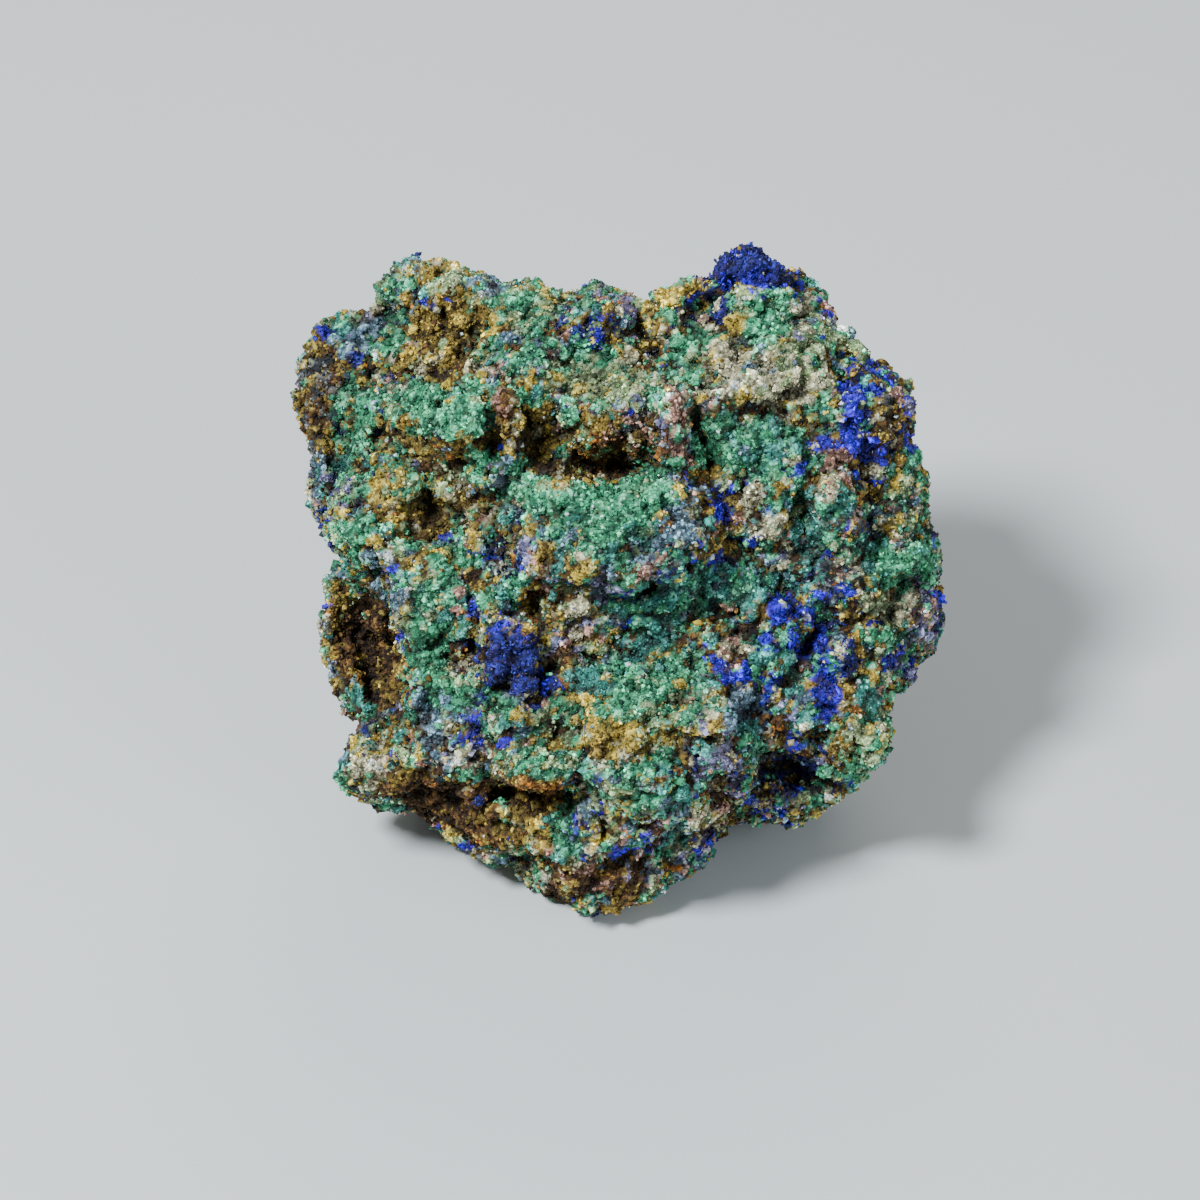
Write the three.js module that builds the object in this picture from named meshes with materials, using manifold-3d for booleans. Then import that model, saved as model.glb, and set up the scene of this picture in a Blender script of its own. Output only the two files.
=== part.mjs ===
// An azurite and malachite specimen: one rough lump of ochre gossan, crusted all over with green
// malachite and with patches of small blue azurite crystals, all grown together as a single stone.
// Millimetres, +Z up. It rests on a broken flat base, and its show face leans back, looking towards
// -Y and up. Shapes on that face are given in the face's own frame: x to the right, y up the face,
// and out of the face.
import * as THREE from "three";
import { ConvexGeometry } from "three/addons/geometries/ConvexGeometry.js";
import { ImprovedNoise } from "three/addons/math/ImprovedNoise.js";
import { mergeVertices } from "three/addons/utils/BufferGeometryUtils.js";
import Module from "manifold-3d";

// Driving dimensions
const FACE_LEAN_DEG = 38; // how far the show face leans back from upright
const FACE_CENTRE_HEIGHT = 30; // above the surface that the stone rests on
const DEPTH_FRONT = 19; // from the widest outline to the middle of the show face
const DEPTH_BACK = 28; // from the widest outline to the middle of the back
const SQUARENESS = 2.7; // 2 is an ellipsoid, and larger is boxier
const SURFACE_DETAIL = 16; // splits of each edge of the starting icosahedron
const FACE_SHARE = 0.35; // 0 spreads the facets evenly, and more gives the show face more of them
const LEAST_DEPTH = 0.25; // share of the depth that the flat breaks leave
const RELIEF_EDGE = 1.3; // 1 gives the relief soft sides, and more gives steep ones

const HALF_SIZES = new THREE.Vector3(38, 38, 24); // of the stone, for the way its surface looks

// The widest outline of the stone, seen square to the show face, clockwise from the left.
const OUTLINE = [
  [-38, 18.5], [-37.5, 23], [-36.5, 26], [-35, 29], [-33, 30.5], [-29.5, 31.5], [-27, 35],
  [-25.5, 37], [-24.5, 36.5], [-20, 37], [-17, 35], [-14, 34], [-9, 34], [-7.5, 32.5],
  [-4, 33.5], [0.5, 33], [1.5, 32], [2, 31], [3, 32.5], [7, 33.5], [8, 34.5], [10.5, 35],
  [11.5, 37], [13, 38.5], [15, 39], [17.5, 38], [19.5, 36], [21, 35.5], [24, 33], [25, 31.5],
  [24.5, 30.5], [27, 27.5], [31, 26], [32.5, 24], [34, 20], [34, 13.5], [34.5, 8], [36, 2.5],
  [36.5, -0.5], [38.5, -3.5], [37.5, -7], [33.5, -10.5], [32.5, -14], [31.5, -15.5],
  [31.5, -18.5], [30, -21.5], [26.5, -25], [23.5, -26], [21.5, -28], [18, -28.5],
  [15.5, -28.5], [14, -27], [12, -28], [11.5, -30.5], [9.5, -33.5], [4, -36.5], [-1, -38],
  [-6, -38.5], [-8.5, -38], [-10.5, -35.5], [-13, -33.5], [-19, -31], [-25.5, -27.5],
  [-28.5, -26.5], [-32.5, -25.5], [-33.5, -24], [-33, -21.5], [-32, -20], [-32.5, -14],
  [-34.5, -8], [-35.5, -2.5], [-35.5, -0.5], [-34.5, 1], [-34, 2.5], [-36, 4.5], [-36.5, 9],
  [-36.5, 13], [-37.5, 16.5],
];

// Relief of the show face. at is the middle, half the two half sizes, turn the tilt of the first
// one in degrees, out the height (below 0 it is a hollow), and droop how far it sags down the face.
const RELIEF = [
  { at: [0, 5.5], half: [11.5, 5], turn: 8, out: 7, droop: 3.5 }, // middle boss
  { at: [8, 8.5], half: [4.5, 3], turn: 0, out: 2.5, droop: 1.5 },
  { at: [9, -4], half: [13, 4.6], turn: 32, out: -7.5, droop: 0 }, // hollow under the boss
  { at: [3, -21], half: [11, 11], turn: 20, out: 6.5, droop: 1 }, // lower boss
  { at: [10.5, -16], half: [4, 6], turn: -10, out: 3.5, droop: 0 },
  { at: [16.5, -21], half: [2.6, 7], turn: 12, out: -6, droop: 0 }, // cleft right of it
  { at: [21, -23], half: [4.5, 3.2], turn: 0, out: -5, droop: 0 },
  { at: [28, -17.5], half: [5, 1.8], turn: 25, out: 3, droop: 1 },
  { at: [-28.7, -8.6], half: [3.6, 8.5], turn: 18, out: -9, droop: 0 }, // cave in the left side
  { at: [-24.6, -8], half: [2.4, 9.5], turn: 6, out: 3.5, droop: 0 }, // edge right of the cave
  { at: [-29.5, -23], half: [5, 3.6], turn: 10, out: 4.5, droop: 1 }, // lower left corner
  { at: [-7, -24], half: [5.5, 2.2], turn: -8, out: -7, droop: 0 }, // mouth under the lip
  { at: [-11, -20.6], half: [4.6, 2.2], turn: -10, out: 4.5, droop: 2 },
  { at: [-7, -18.4], half: [4, 1.2], turn: 5, out: -3.5, droop: 0 },
  { at: [-20, -27], half: [8, 3.2], turn: -28, out: -3.5, droop: 0 }, // receding lower edge
  { at: [-20.6, 28.4], half: [5.8, 3.6], turn: 0, out: -4.5, droop: 0 }, // ochre hollow, top left
  { at: [-23.5, 23], half: [7, 1.4], turn: -6, out: -4, droop: 0 },
  { at: [-26.5, 19.5], half: [7, 2.6], turn: -3, out: 2.5, droop: 0.5 },
  { at: [-22, 34], half: [5, 2], turn: 5, out: 2, droop: 0 },
  { at: [-14, 23.6], half: [5, 2.4], turn: 22, out: 4, droop: 1 }, // hoof shaped ridge
  { at: [-18.3, 17.4], half: [4, 2.4], turn: 5, out: 5, droop: 2 },
  { at: [-13.2, 18], half: [1.5, 4.5], turn: -8, out: 3.5, droop: 0 },
  { at: [-22.5, 14.5], half: [4.5, 1.8], turn: -20, out: -3.5, droop: 0 },
  { at: [-9, 17], half: [2.6, 4], turn: 0, out: -3.5, droop: 0 },
  { at: [-0.5, 22], half: [9, 4.6], turn: -4, out: 4.5, droop: 2.5 }, // upper plateau
  { at: [5, 17], half: [3.4, 4.5], turn: 10, out: 3, droop: 1 },
  { at: [-1, 12.4], half: [4.8, 1.8], turn: 0, out: -6, droop: 0 }, // hole under the plateau
  { at: [-2.8, 30], half: [5.4, 3.2], turn: 12, out: 3.5, droop: 1 }, // saddle knob
  { at: [2.2, 29], half: [1.3, 4], turn: -8, out: -3, droop: 0 },
  { at: [6, 31.5], half: [4, 2.4], turn: 12, out: 2.2, droop: 0 },
  { at: [14.8, 34.5], half: [5, 3.6], turn: 0, out: 3, droop: 0.5 }, // blue top knob
  { at: [12, 27], half: [6, 1.3], turn: 14, out: -2, droop: 0 },
  { at: [18, 23], half: [8, 5], turn: 20, out: 2.5, droop: 0 },
  { at: [29.5, 21], half: [5.5, 6], turn: 20, out: 4, droop: 0.5 }, // azurite shoulder
  { at: [14.5, 18.6], half: [5.5, 1.3], turn: 16, out: -3.2, droop: 0 },
  { at: [12.5, 6.5], half: [2.4, 4.5], turn: 8, out: -3, droop: 0 },
  { at: [25, 8], half: [2.6, 5.2], turn: 12, out: 4, droop: 0.5 }, // column on the right
  { at: [18.5, 7], half: [3.4, 4], turn: 0, out: 2.2, droop: 0.5 },
  { at: [29, 7], half: [1.8, 5.5], turn: 8, out: -3, droop: 0 },
  { at: [33, 0], half: [3.8, 3.2], turn: 0, out: 3, droop: 0.5 }, // green knob, far right
  { at: [24, -5.5], half: [4, 1.6], turn: 30, out: -2.5, droop: 0 },
  { at: [-20.3, 7], half: [6, 4], turn: 0, out: -3.6, droop: 0 }, // ochre hollow, left
  { at: [-29, 5], half: [5, 2.4], turn: 12, out: 3, droop: 0.5 },
  { at: [-10.2, 1], half: [2, 5], turn: -4, out: 2, droop: 0 },
  { at: [-10.8, -3.4], half: [2.4, 2.2], turn: 0, out: -4.5, droop: 0 },
  { at: [-13.4, -8.8], half: [3.2, 4], turn: 0, out: 3.2, droop: 1 }, // azurite rosette
  { at: [-18.4, -8.6], half: [4, 1.5], turn: -16, out: -3.2, droop: 0 },
  { at: [-16, -15], half: [6, 3], turn: 22, out: 2.5, droop: 0.5 },
  { at: [3.5, -11], half: [8, 1.6], turn: 32, out: 1.8, droop: 0 },
  { at: [4, -33], half: [9, 2.6], turn: 8, out: -3, droop: 0 }, // underside of the lower boss
];

// Flat breaks round the sides and back, each a plane: the way it faces, and how far it lies from
// the middle of the stone. A break keeps the outline and only takes off depth.
const BREAKS = [
  { faces: [-0.84, 0.3, 0.45], away: 33.5 },
  { faces: [-0.88, -0.2, 0.43], away: 31.5 },
  { faces: [0.8, -0.3, 0.52], away: 32.5 },
  { faces: [0.2, 0.85, 0.49], away: 34.5 },
  { faces: [0.3, -0.6, 0.74], away: 30.5 },
  { faces: [-0.75, 0.15, -0.65], away: 31 },
  { faces: [-0.8, -0.3, -0.52], away: 33.5 },
  { faces: [0.8, 0.25, -0.55], away: 32 },
  { faces: [0.82, -0.2, -0.53], away: 33 },
  { faces: [0.15, 0.8, -0.58], away: 33 },
  { faces: [-0.35, 0.6, -0.72], away: 30.5 },
  { faces: [0.28, 0.3, -0.91], away: 25.5 },
  { faces: [-0.2, -0.2, -0.96], away: 25 },
];

// Roughness all over, coarse to fine. Level is the sum that leaves the stone its plain size.
const ROUGHNESS = [
  { kind: "waves", width: 15, height: 1.65, seed: 3.7 },
  { kind: "knobs", width: 8.5, height: 3.3 },
  { kind: "waves", width: 7, height: 1.32, seed: 9.1 },
  { kind: "knobs", width: 4.8, height: 1.95 },
  { kind: "waves", width: 2.6, height: 0.75, seed: 5.3 },
];
const ROUGHNESS_LEVEL = 4.07;

// Azurite crystals: at is the middle of a patch on the show face, spread its half width.
const CRYSTAL_LENGTH = 4.6;
const CRYSTAL_WIDTH = 2.5;
const CRYSTAL_SUNK = 0.6; // share of a crystal that is inside the stone
const GOLDEN_ANGLE = 2.4; // between one crystal of a patch and the next, in radians
const AZURITE_PATCHES = [
  { at: [14.5, 34], spread: 3.8, count: 8 },
  { at: [-3, 29.5], spread: 2.6, count: 4 },
  { at: [8, 30.5], spread: 1.5, count: 2 },
  { at: [29, 20], spread: 3.4, count: 8 },
  { at: [25, 15], spread: 2, count: 3 },
  { at: [-13.4, -8.6], spread: 2.4, count: 6 },
  { at: [12.6, 6.5], spread: 1.6, count: 3 },
  { at: [22, -4], spread: 2.4, count: 3 },
  { at: [24, -13], spread: 2.4, count: 4 },
  { at: [18.5, -24.5], spread: 2, count: 3 },
];
// Patches on the back, in the same frame: x and y where they sit.
const BACK_PATCHES = [{ at: [14, 10], spread: 3, count: 4 }];

// Rounded malachite knobs that stand out from the crust: at, and half width.
const KNOBS = [
  { at: [-18.4, 17.2], size: 2.7 },
  { at: [-15.3, 13.2], size: 2.1 },
  { at: [-16.2, 10.4], size: 1.8 },
  { at: [-13.6, 23.8], size: 2.1 },
  { at: [-9.4, -20.4], size: 2.1 },
  { at: [31, 1.5], size: 2.3 },
  { at: [34, -1], size: 2.1 },
  { at: [-6.5, 7.5], size: 2.3 },
];

const wasm = await Module();
wasm.setup();

const lean = THREE.MathUtils.degToRad(FACE_LEAN_DEG);
const faceFrame = new THREE.Matrix4()
  .makeRotationX(Math.PI / 2 - lean)
  .setPosition(0, 0, FACE_CENTRE_HEIGHT);
const noise = new ImprovedNoise();

// A repeatable random number from 0 to 1 for whole numbers i and j.
function scatter(i, j) {
  const s = Math.sin(i * 127.1 + j * 311.7) * 43758.5453;
  return s - Math.floor(s);
}

// Smooth noise of about -1 to 1 with the given wavelength.
function waves(p, length, seed) {
  return noise.noise(p.x / length + seed, p.y / length - seed, p.z / length + 2 * seed);
}

// Rounded knobs packed side by side: 1 at the top of a knob and about 0 in the creases.
function packedKnobs(p, size) {
  const cell = p.clone().divideScalar(size);
  const base = cell.clone().floor();
  let nearest = Infinity;
  for (let i = -1; i <= 1; i++)
    for (let j = -1; j <= 1; j++)
      for (let k = -1; k <= 1; k++) {
        const [x, y, z] = [base.x + i, base.y + j, base.z + k];
        const mark = x * 7 + y * 13 + z * 29;
        const seed = new THREE.Vector3(
          x + scatter(mark, 1),
          y + scatter(mark, 2),
          z + scatter(mark, 3),
        );
        nearest = Math.min(nearest, seed.distanceToSquared(cell));
      }
  return 1 - nearest;
}

// How far the outline lies from the middle in the direction of angle.
function outlineReach(angle) {
  const ray = new THREE.Vector2(Math.cos(angle), Math.sin(angle));
  let reach = 0;
  OUTLINE.forEach((start, i) => {
    const a = new THREE.Vector2(...start);
    const edge = new THREE.Vector2(...OUTLINE[(i + 1) % OUTLINE.length]).sub(a);
    const turned = ray.cross(edge);
    if (Math.abs(turned) < 1e-9) return;
    const along = a.cross(edge) / turned;
    const share = a.cross(ray) / turned;
    if (along > 0 && share >= 0 && share <= 1) reach = Math.max(reach, along);
  });
  return reach;
}

// The plain body: the outline swept into a boxy dome in front and behind, with flat breaks.
function plainBody(way) {
  const side = Math.hypot(way.x, way.y);
  const k = (side ** SQUARENESS + Math.abs(way.z) ** SQUARENESS) ** (1 / SQUARENESS);
  const reach = outlineReach(Math.atan2(way.y, way.x));
  const depth = way.z > 0 ? DEPTH_FRONT : DEPTH_BACK;
  const p = new THREE.Vector3(
    (way.x * reach) / k,
    (way.y * reach) / k,
    (way.z * depth) / k,
  );
  const full = p.z;
  for (const { faces, away } of BREAKS) {
    const normal = new THREE.Vector3(...faces).normalize();
    const over = p.dot(normal) - away;
    if (over > 0 && normal.z * full > 0) p.z -= over / normal.z;
  }
  if (p.z / full < LEAST_DEPTH) p.z = LEAST_DEPTH * full;
  return p;
}

// Adds the relief of the show face, which fades out towards the widest outline.
function addRelief(p, way) {
  const facing = THREE.MathUtils.smoothstep(way.z, 0.02, 0.4);
  let out = 0;
  let droop = 0;
  for (const shape of RELIEF) {
    const turn = THREE.MathUtils.degToRad(shape.turn);
    const [x, y] = [p.x - shape.at[0], p.y - shape.at[1]];
    const along = (x * Math.cos(turn) + y * Math.sin(turn)) / shape.half[0];
    const across = (y * Math.cos(turn) - x * Math.sin(turn)) / shape.half[1];
    const share = Math.exp(-((along * along + across * across) ** RELIEF_EDGE));
    out += shape.out * share;
    droop += shape.droop * share;
  }
  p.z += out * facing;
  p.y -= droop * facing;
  return p;
}

// The finished place of one point of the stone's surface, in the face's frame.
function surfacePoint(way) {
  const p = addRelief(plainBody(way), way);
  let rough = -ROUGHNESS_LEVEL;
  for (const { kind, width, height, seed } of ROUGHNESS) {
    rough += height * (kind === "waves" ? waves(p, width, seed) : packedKnobs(p, width));
  }
  const outward = p.clone().divide(HALF_SIZES).normalize();
  return p.addScaledVector(outward, rough);
}

// A closed mesh as a manifold-3d solid.
function solidOf(geometry) {
  const bare = new THREE.BufferGeometry();
  bare.setAttribute("position", geometry.getAttribute("position"));
  if (geometry.index) bare.setIndex(geometry.index);
  const merged = mergeVertices(bare, 1e-3);
  return new wasm.Manifold(
    new wasm.Mesh({
      numProp: 3,
      vertProperties: new Float32Array(merged.attributes.position.array),
      triVerts: new Uint32Array(merged.index.array),
    }),
  );
}

// A solid back as a three.js geometry.
function geometryOf(solid) {
  const mesh = solid.getMesh();
  const geometry = new THREE.BufferGeometry();
  geometry.setAttribute("position", new THREE.BufferAttribute(mesh.vertProperties, 3));
  geometry.setIndex(new THREE.BufferAttribute(mesh.triVerts, 1));
  return geometry;
}

function stoneBody() {
  const ball = new THREE.IcosahedronGeometry(1, SURFACE_DETAIL);
  ball.deleteAttribute("normal");
  ball.deleteAttribute("uv");
  const shape = mergeVertices(ball);
  const places = shape.getAttribute("position");
  const way = new THREE.Vector3();
  for (let i = 0; i < places.count; i++) {
    way.fromBufferAttribute(places, i).normalize();
    way.z += FACE_SHARE;
    places.setXYZ(i, ...surfacePoint(way.normalize()));
  }
  return shape;
}

// A stubby azurite crystal standing on the origin along +Z: a flattened six-sided prism that ends
// in a chisel edge.
function azuriteCrystal(length, width) {
  const points = [new THREE.Vector3(0.35 * width, 0, length)];
  points.push(new THREE.Vector3(-0.35 * width, 0.1 * width, length));
  for (let corner = 0; corner < 6; corner++) {
    const angle = (corner * Math.PI) / 3;
    const [x, y] = [0.5 * width * Math.cos(angle), 0.36 * width * Math.sin(angle)];
    points.push(new THREE.Vector3(x, y, 0));
    points.push(new THREE.Vector3(1.08 * x, 1.08 * y, 0.68 * length));
  }
  return new ConvexGeometry(points);
}

// A lumpy rounded knob of malachite round the origin.
function malachiteKnob(size, mark) {
  const ball = new THREE.IcosahedronGeometry(1, 1);
  ball.deleteAttribute("normal");
  ball.deleteAttribute("uv");
  const knob = mergeVertices(ball);
  const places = knob.getAttribute("position");
  const p = new THREE.Vector3();
  for (let i = 0; i < places.count; i++) {
    p.fromBufferAttribute(places, i);
    p.multiplyScalar(size * (0.95 + 0.35 * waves(p, 0.8, mark)));
    places.setXYZ(i, p.x, p.y, 0.85 * p.z);
  }
  return knob;
}

const body = stoneBody();
body.computeBoundingSphere();
const target = new THREE.Mesh(body, new THREE.MeshBasicMaterial({ side: THREE.DoubleSide }));
const caster = new THREE.Raycaster();

// Where a line square to the show face meets the stone, and which way the surface looks there.
// side is 1 for the show face and -1 for the back.
function spotOn(x, y, side) {
  caster.set(new THREE.Vector3(x, y, 100 * side), new THREE.Vector3(0, 0, -side));
  const hit = caster.intersectObject(target)[0];
  return hit && { place: hit.point, normal: hit.face.normal };
}

// The crystals of one patch, leaning a little every way from the surface.
function patchCrystals(patch, side, mark) {
  const crystals = [];
  for (let i = 0; i < patch.count; i++) {
    const far = patch.spread * Math.sqrt((i + 0.5) / patch.count);
    const round = i * GOLDEN_ANGLE + mark;
    const spot = spotOn(
      patch.at[0] + far * Math.cos(round),
      patch.at[1] + far * Math.sin(round),
      side,
    );
    if (!spot) continue;
    const size = 0.75 + 0.5 * scatter(i, mark);
    const length = CRYSTAL_LENGTH * size;
    const crystal = azuriteCrystal(length, CRYSTAL_WIDTH * size);
    const up = spot.normal.clone();
    up.x += scatter(mark, i) - 0.5;
    up.y += scatter(mark + 9, i) - 0.5;
    crystal.rotateZ(6 * scatter(i + 4, mark));
    crystal.translate(0, 0, -CRYSTAL_SUNK * length);
    crystal.applyQuaternion(
      new THREE.Quaternion().setFromUnitVectors(new THREE.Vector3(0, 0, 1), up.normalize()),
    );
    crystal.translate(...spot.place);
    crystals.push(solidOf(crystal));
  }
  return crystals;
}

function placedKnob({ at, size }, mark) {
  const spot = spotOn(at[0], at[1], 1);
  const knob = malachiteKnob(size, mark);
  knob.translate(spot.place.x, spot.place.y, spot.place.z - 0.15 * size);
  return solidOf(knob);
}

let stone = solidOf(body);
KNOBS.forEach((knob, i) => {
  stone = stone.add(placedKnob(knob, i + 1));
});
AZURITE_PATCHES.forEach((patch, i) => {
  for (const crystal of patchCrystals(patch, 1, i + 1)) stone = stone.add(crystal);
});
BACK_PATCHES.forEach((patch, i) => {
  for (const crystal of patchCrystals(patch, -1, i + 31)) stone = stone.add(crystal);
});

// Stand the face up to its lean and break the stone off flat underneath.
const standing = geometryOf(stone).applyMatrix4(faceFrame);
const ground = new THREE.BoxGeometry(200, 200, 100).translate(0, 0, -50);
const resting = geometryOf(solidOf(standing).subtract(solidOf(ground)));

// The origin is under the middle of the stone.
resting.computeBoundingBox();
const middle = resting.boundingBox.getCenter(new THREE.Vector3());
resting.translate(-middle.x, -middle.y, 0);

const specimen = new THREE.Mesh(
  resting,
  new THREE.MeshStandardMaterial({ color: 0x5f7f62, roughness: 0.85, metalness: 0 }),
);
specimen.name = "azurite_specimen";

const group = new THREE.Group();
group.add(specimen);
export default group;
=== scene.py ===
import itertools
import math

import bpy
import numpy as np
from mathutils import Matrix, Vector


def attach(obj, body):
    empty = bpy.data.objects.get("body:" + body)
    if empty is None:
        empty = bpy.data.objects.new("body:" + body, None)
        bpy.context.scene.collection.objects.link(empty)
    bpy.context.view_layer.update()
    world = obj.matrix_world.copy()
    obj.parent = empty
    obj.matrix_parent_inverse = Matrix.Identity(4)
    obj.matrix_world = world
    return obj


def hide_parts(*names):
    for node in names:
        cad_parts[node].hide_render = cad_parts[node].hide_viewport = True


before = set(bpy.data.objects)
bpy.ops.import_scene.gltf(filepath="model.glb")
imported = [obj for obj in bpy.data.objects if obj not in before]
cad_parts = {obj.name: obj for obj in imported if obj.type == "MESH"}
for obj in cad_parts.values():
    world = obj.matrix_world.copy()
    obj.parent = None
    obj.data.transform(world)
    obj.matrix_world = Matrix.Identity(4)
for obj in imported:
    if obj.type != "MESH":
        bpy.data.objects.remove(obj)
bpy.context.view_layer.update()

metresPerMm = 0.001
mmPerMetre = 1000

# The show face leans back, and patches on it are placed in its own frame: x to the right and y up
# the face, in mm, from the middle of the face.
face = {
    "lean": math.radians(38),
    "centre": np.array([0.03, 1.01, 30.0]),
}
faceAxes = np.array([
    [1, 0, 0],
    [0, math.sin(face["lean"]), math.cos(face["lean"])],
    [0, -math.cos(face["lean"]), math.sin(face["lean"])],
])


def onFace(points):
    return (points - face["centre"]) @ faceAxes.T


def offFace(points):
    return points @ faceAxes + face["centre"]


def daylight(code):
    # the light that a colour code of six digits stands for
    parts = [int(code[i:i + 2], 16) / 255 for i in (0, 2, 4)]
    return [c / 12.92 if c <= 0.04045 else ((c + 0.055) / 1.055) ** 2.4 for c in parts]


# Four shades of each mineral, as the stone shows them in daylight.
minerals = {
    "azurite": "1a0b84 2511a4 110850 3624c2",
    "navy": "111140 191a58 0b0b2a 262a78",
    "mint": "48a474 32845c 84d2a4 226444",
    "green": "286e48 184a32 408c62 5ca87c",
    "teal": "2c6a5c 3a7e70 1e5046 62a494",
    "slate": "546e7a 3f5460 78909a 2e3e46",
    "ochre": "826a28 604c1a a08a40 443412",
    "yellow": "b49c40 9c822c ccb85c 7a6420",
    "orange": "945e20 744614 aa7434 50300e",
    "rust": "4e3418 36220e 6a4c24 241709",
    "pink": "966e5c 785444 b08c7a 563c30",
    "tan": "b0a984 928a66 d0caa6 6c674e",
    "sage": "86986a 6a7e50 a8b486 50603c",
    "mauve": "747290 58546e 9492ac 403c54",
    "grey": "404244 2c2e30 5c5c56 1e2022",
    "pale": "c8ccc0 acb0a4 e4e4d8 90948a",
}
kinds = list(minerals)
palette = np.array([[daylight(code) for code in minerals[kind].split()] for kind in kinds])

# How common each mineral is where no patch says otherwise, and the width of its own patches in mm.
everywhere = {
    "azurite": (-1.5, 7), "navy": (-1.3, 5), "mint": (-0.3, 8), "green": (0.3, 9),
    "teal": (0, 8), "slate": (-0.4, 7), "ochre": (0.2, 8), "yellow": (-0.5, 6),
    "orange": (-1.3, 5), "rust": (-0.2, 7), "pink": (-0.8, 6), "tan": (-0.5, 8),
    "sage": (-0.1, 7), "mauve": (-1.1, 6), "grey": (-0.7, 7), "pale": (-2.4, 4),
}

# What a patch of each mineral brings with it, as a share of its own strength.
company = {
    "azurite": {"navy": 0.6, "mauve": 0.25, "ochre": 0.25, "tan": 0.2},
    "navy": {"azurite": 0.5, "slate": 0.35, "rust": 0.3, "grey": 0.25, "tan": 0.2},
    "mint": {"green": 0.6, "sage": 0.4, "teal": 0.3, "yellow": 0.3, "pale": 0.15},
    "green": {"mint": 0.5, "teal": 0.45, "sage": 0.4, "yellow": 0.3, "slate": 0.2},
    "teal": {"green": 0.5, "slate": 0.45, "mint": 0.3, "rust": 0.2, "pink": 0.2},
    "slate": {"mauve": 0.45, "teal": 0.4, "grey": 0.35, "pale": 0.3, "sage": 0.2},
    "ochre": {"yellow": 0.5, "rust": 0.5, "orange": 0.4, "tan": 0.4, "sage": 0.35, "green": 0.2},
    "yellow": {"ochre": 0.6, "tan": 0.5, "sage": 0.5, "mint": 0.3, "orange": 0.2},
    "orange": {"ochre": 0.6, "rust": 0.5, "yellow": 0.4},
    "rust": {"ochre": 0.5, "grey": 0.4, "orange": 0.4, "pink": 0.3},
    "pink": {"tan": 0.5, "mauve": 0.35, "rust": 0.4, "ochre": 0.3},
    "tan": {"yellow": 0.6, "pink": 0.35, "sage": 0.5, "pale": 0.2, "slate": 0.25, "rust": 0.3},
    "sage": {"yellow": 0.5, "mint": 0.45, "tan": 0.45, "green": 0.45, "ochre": 0.2},
    "mauve": {"slate": 0.5, "pink": 0.4, "tan": 0.3, "navy": 0.25},
    "grey": {"rust": 0.45, "slate": 0.4, "ochre": 0.4, "navy": 0.3, "pale": 0.2},
    "pale": {"tan": 0.5, "slate": 0.4, "mint": 0.35},
}

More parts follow.
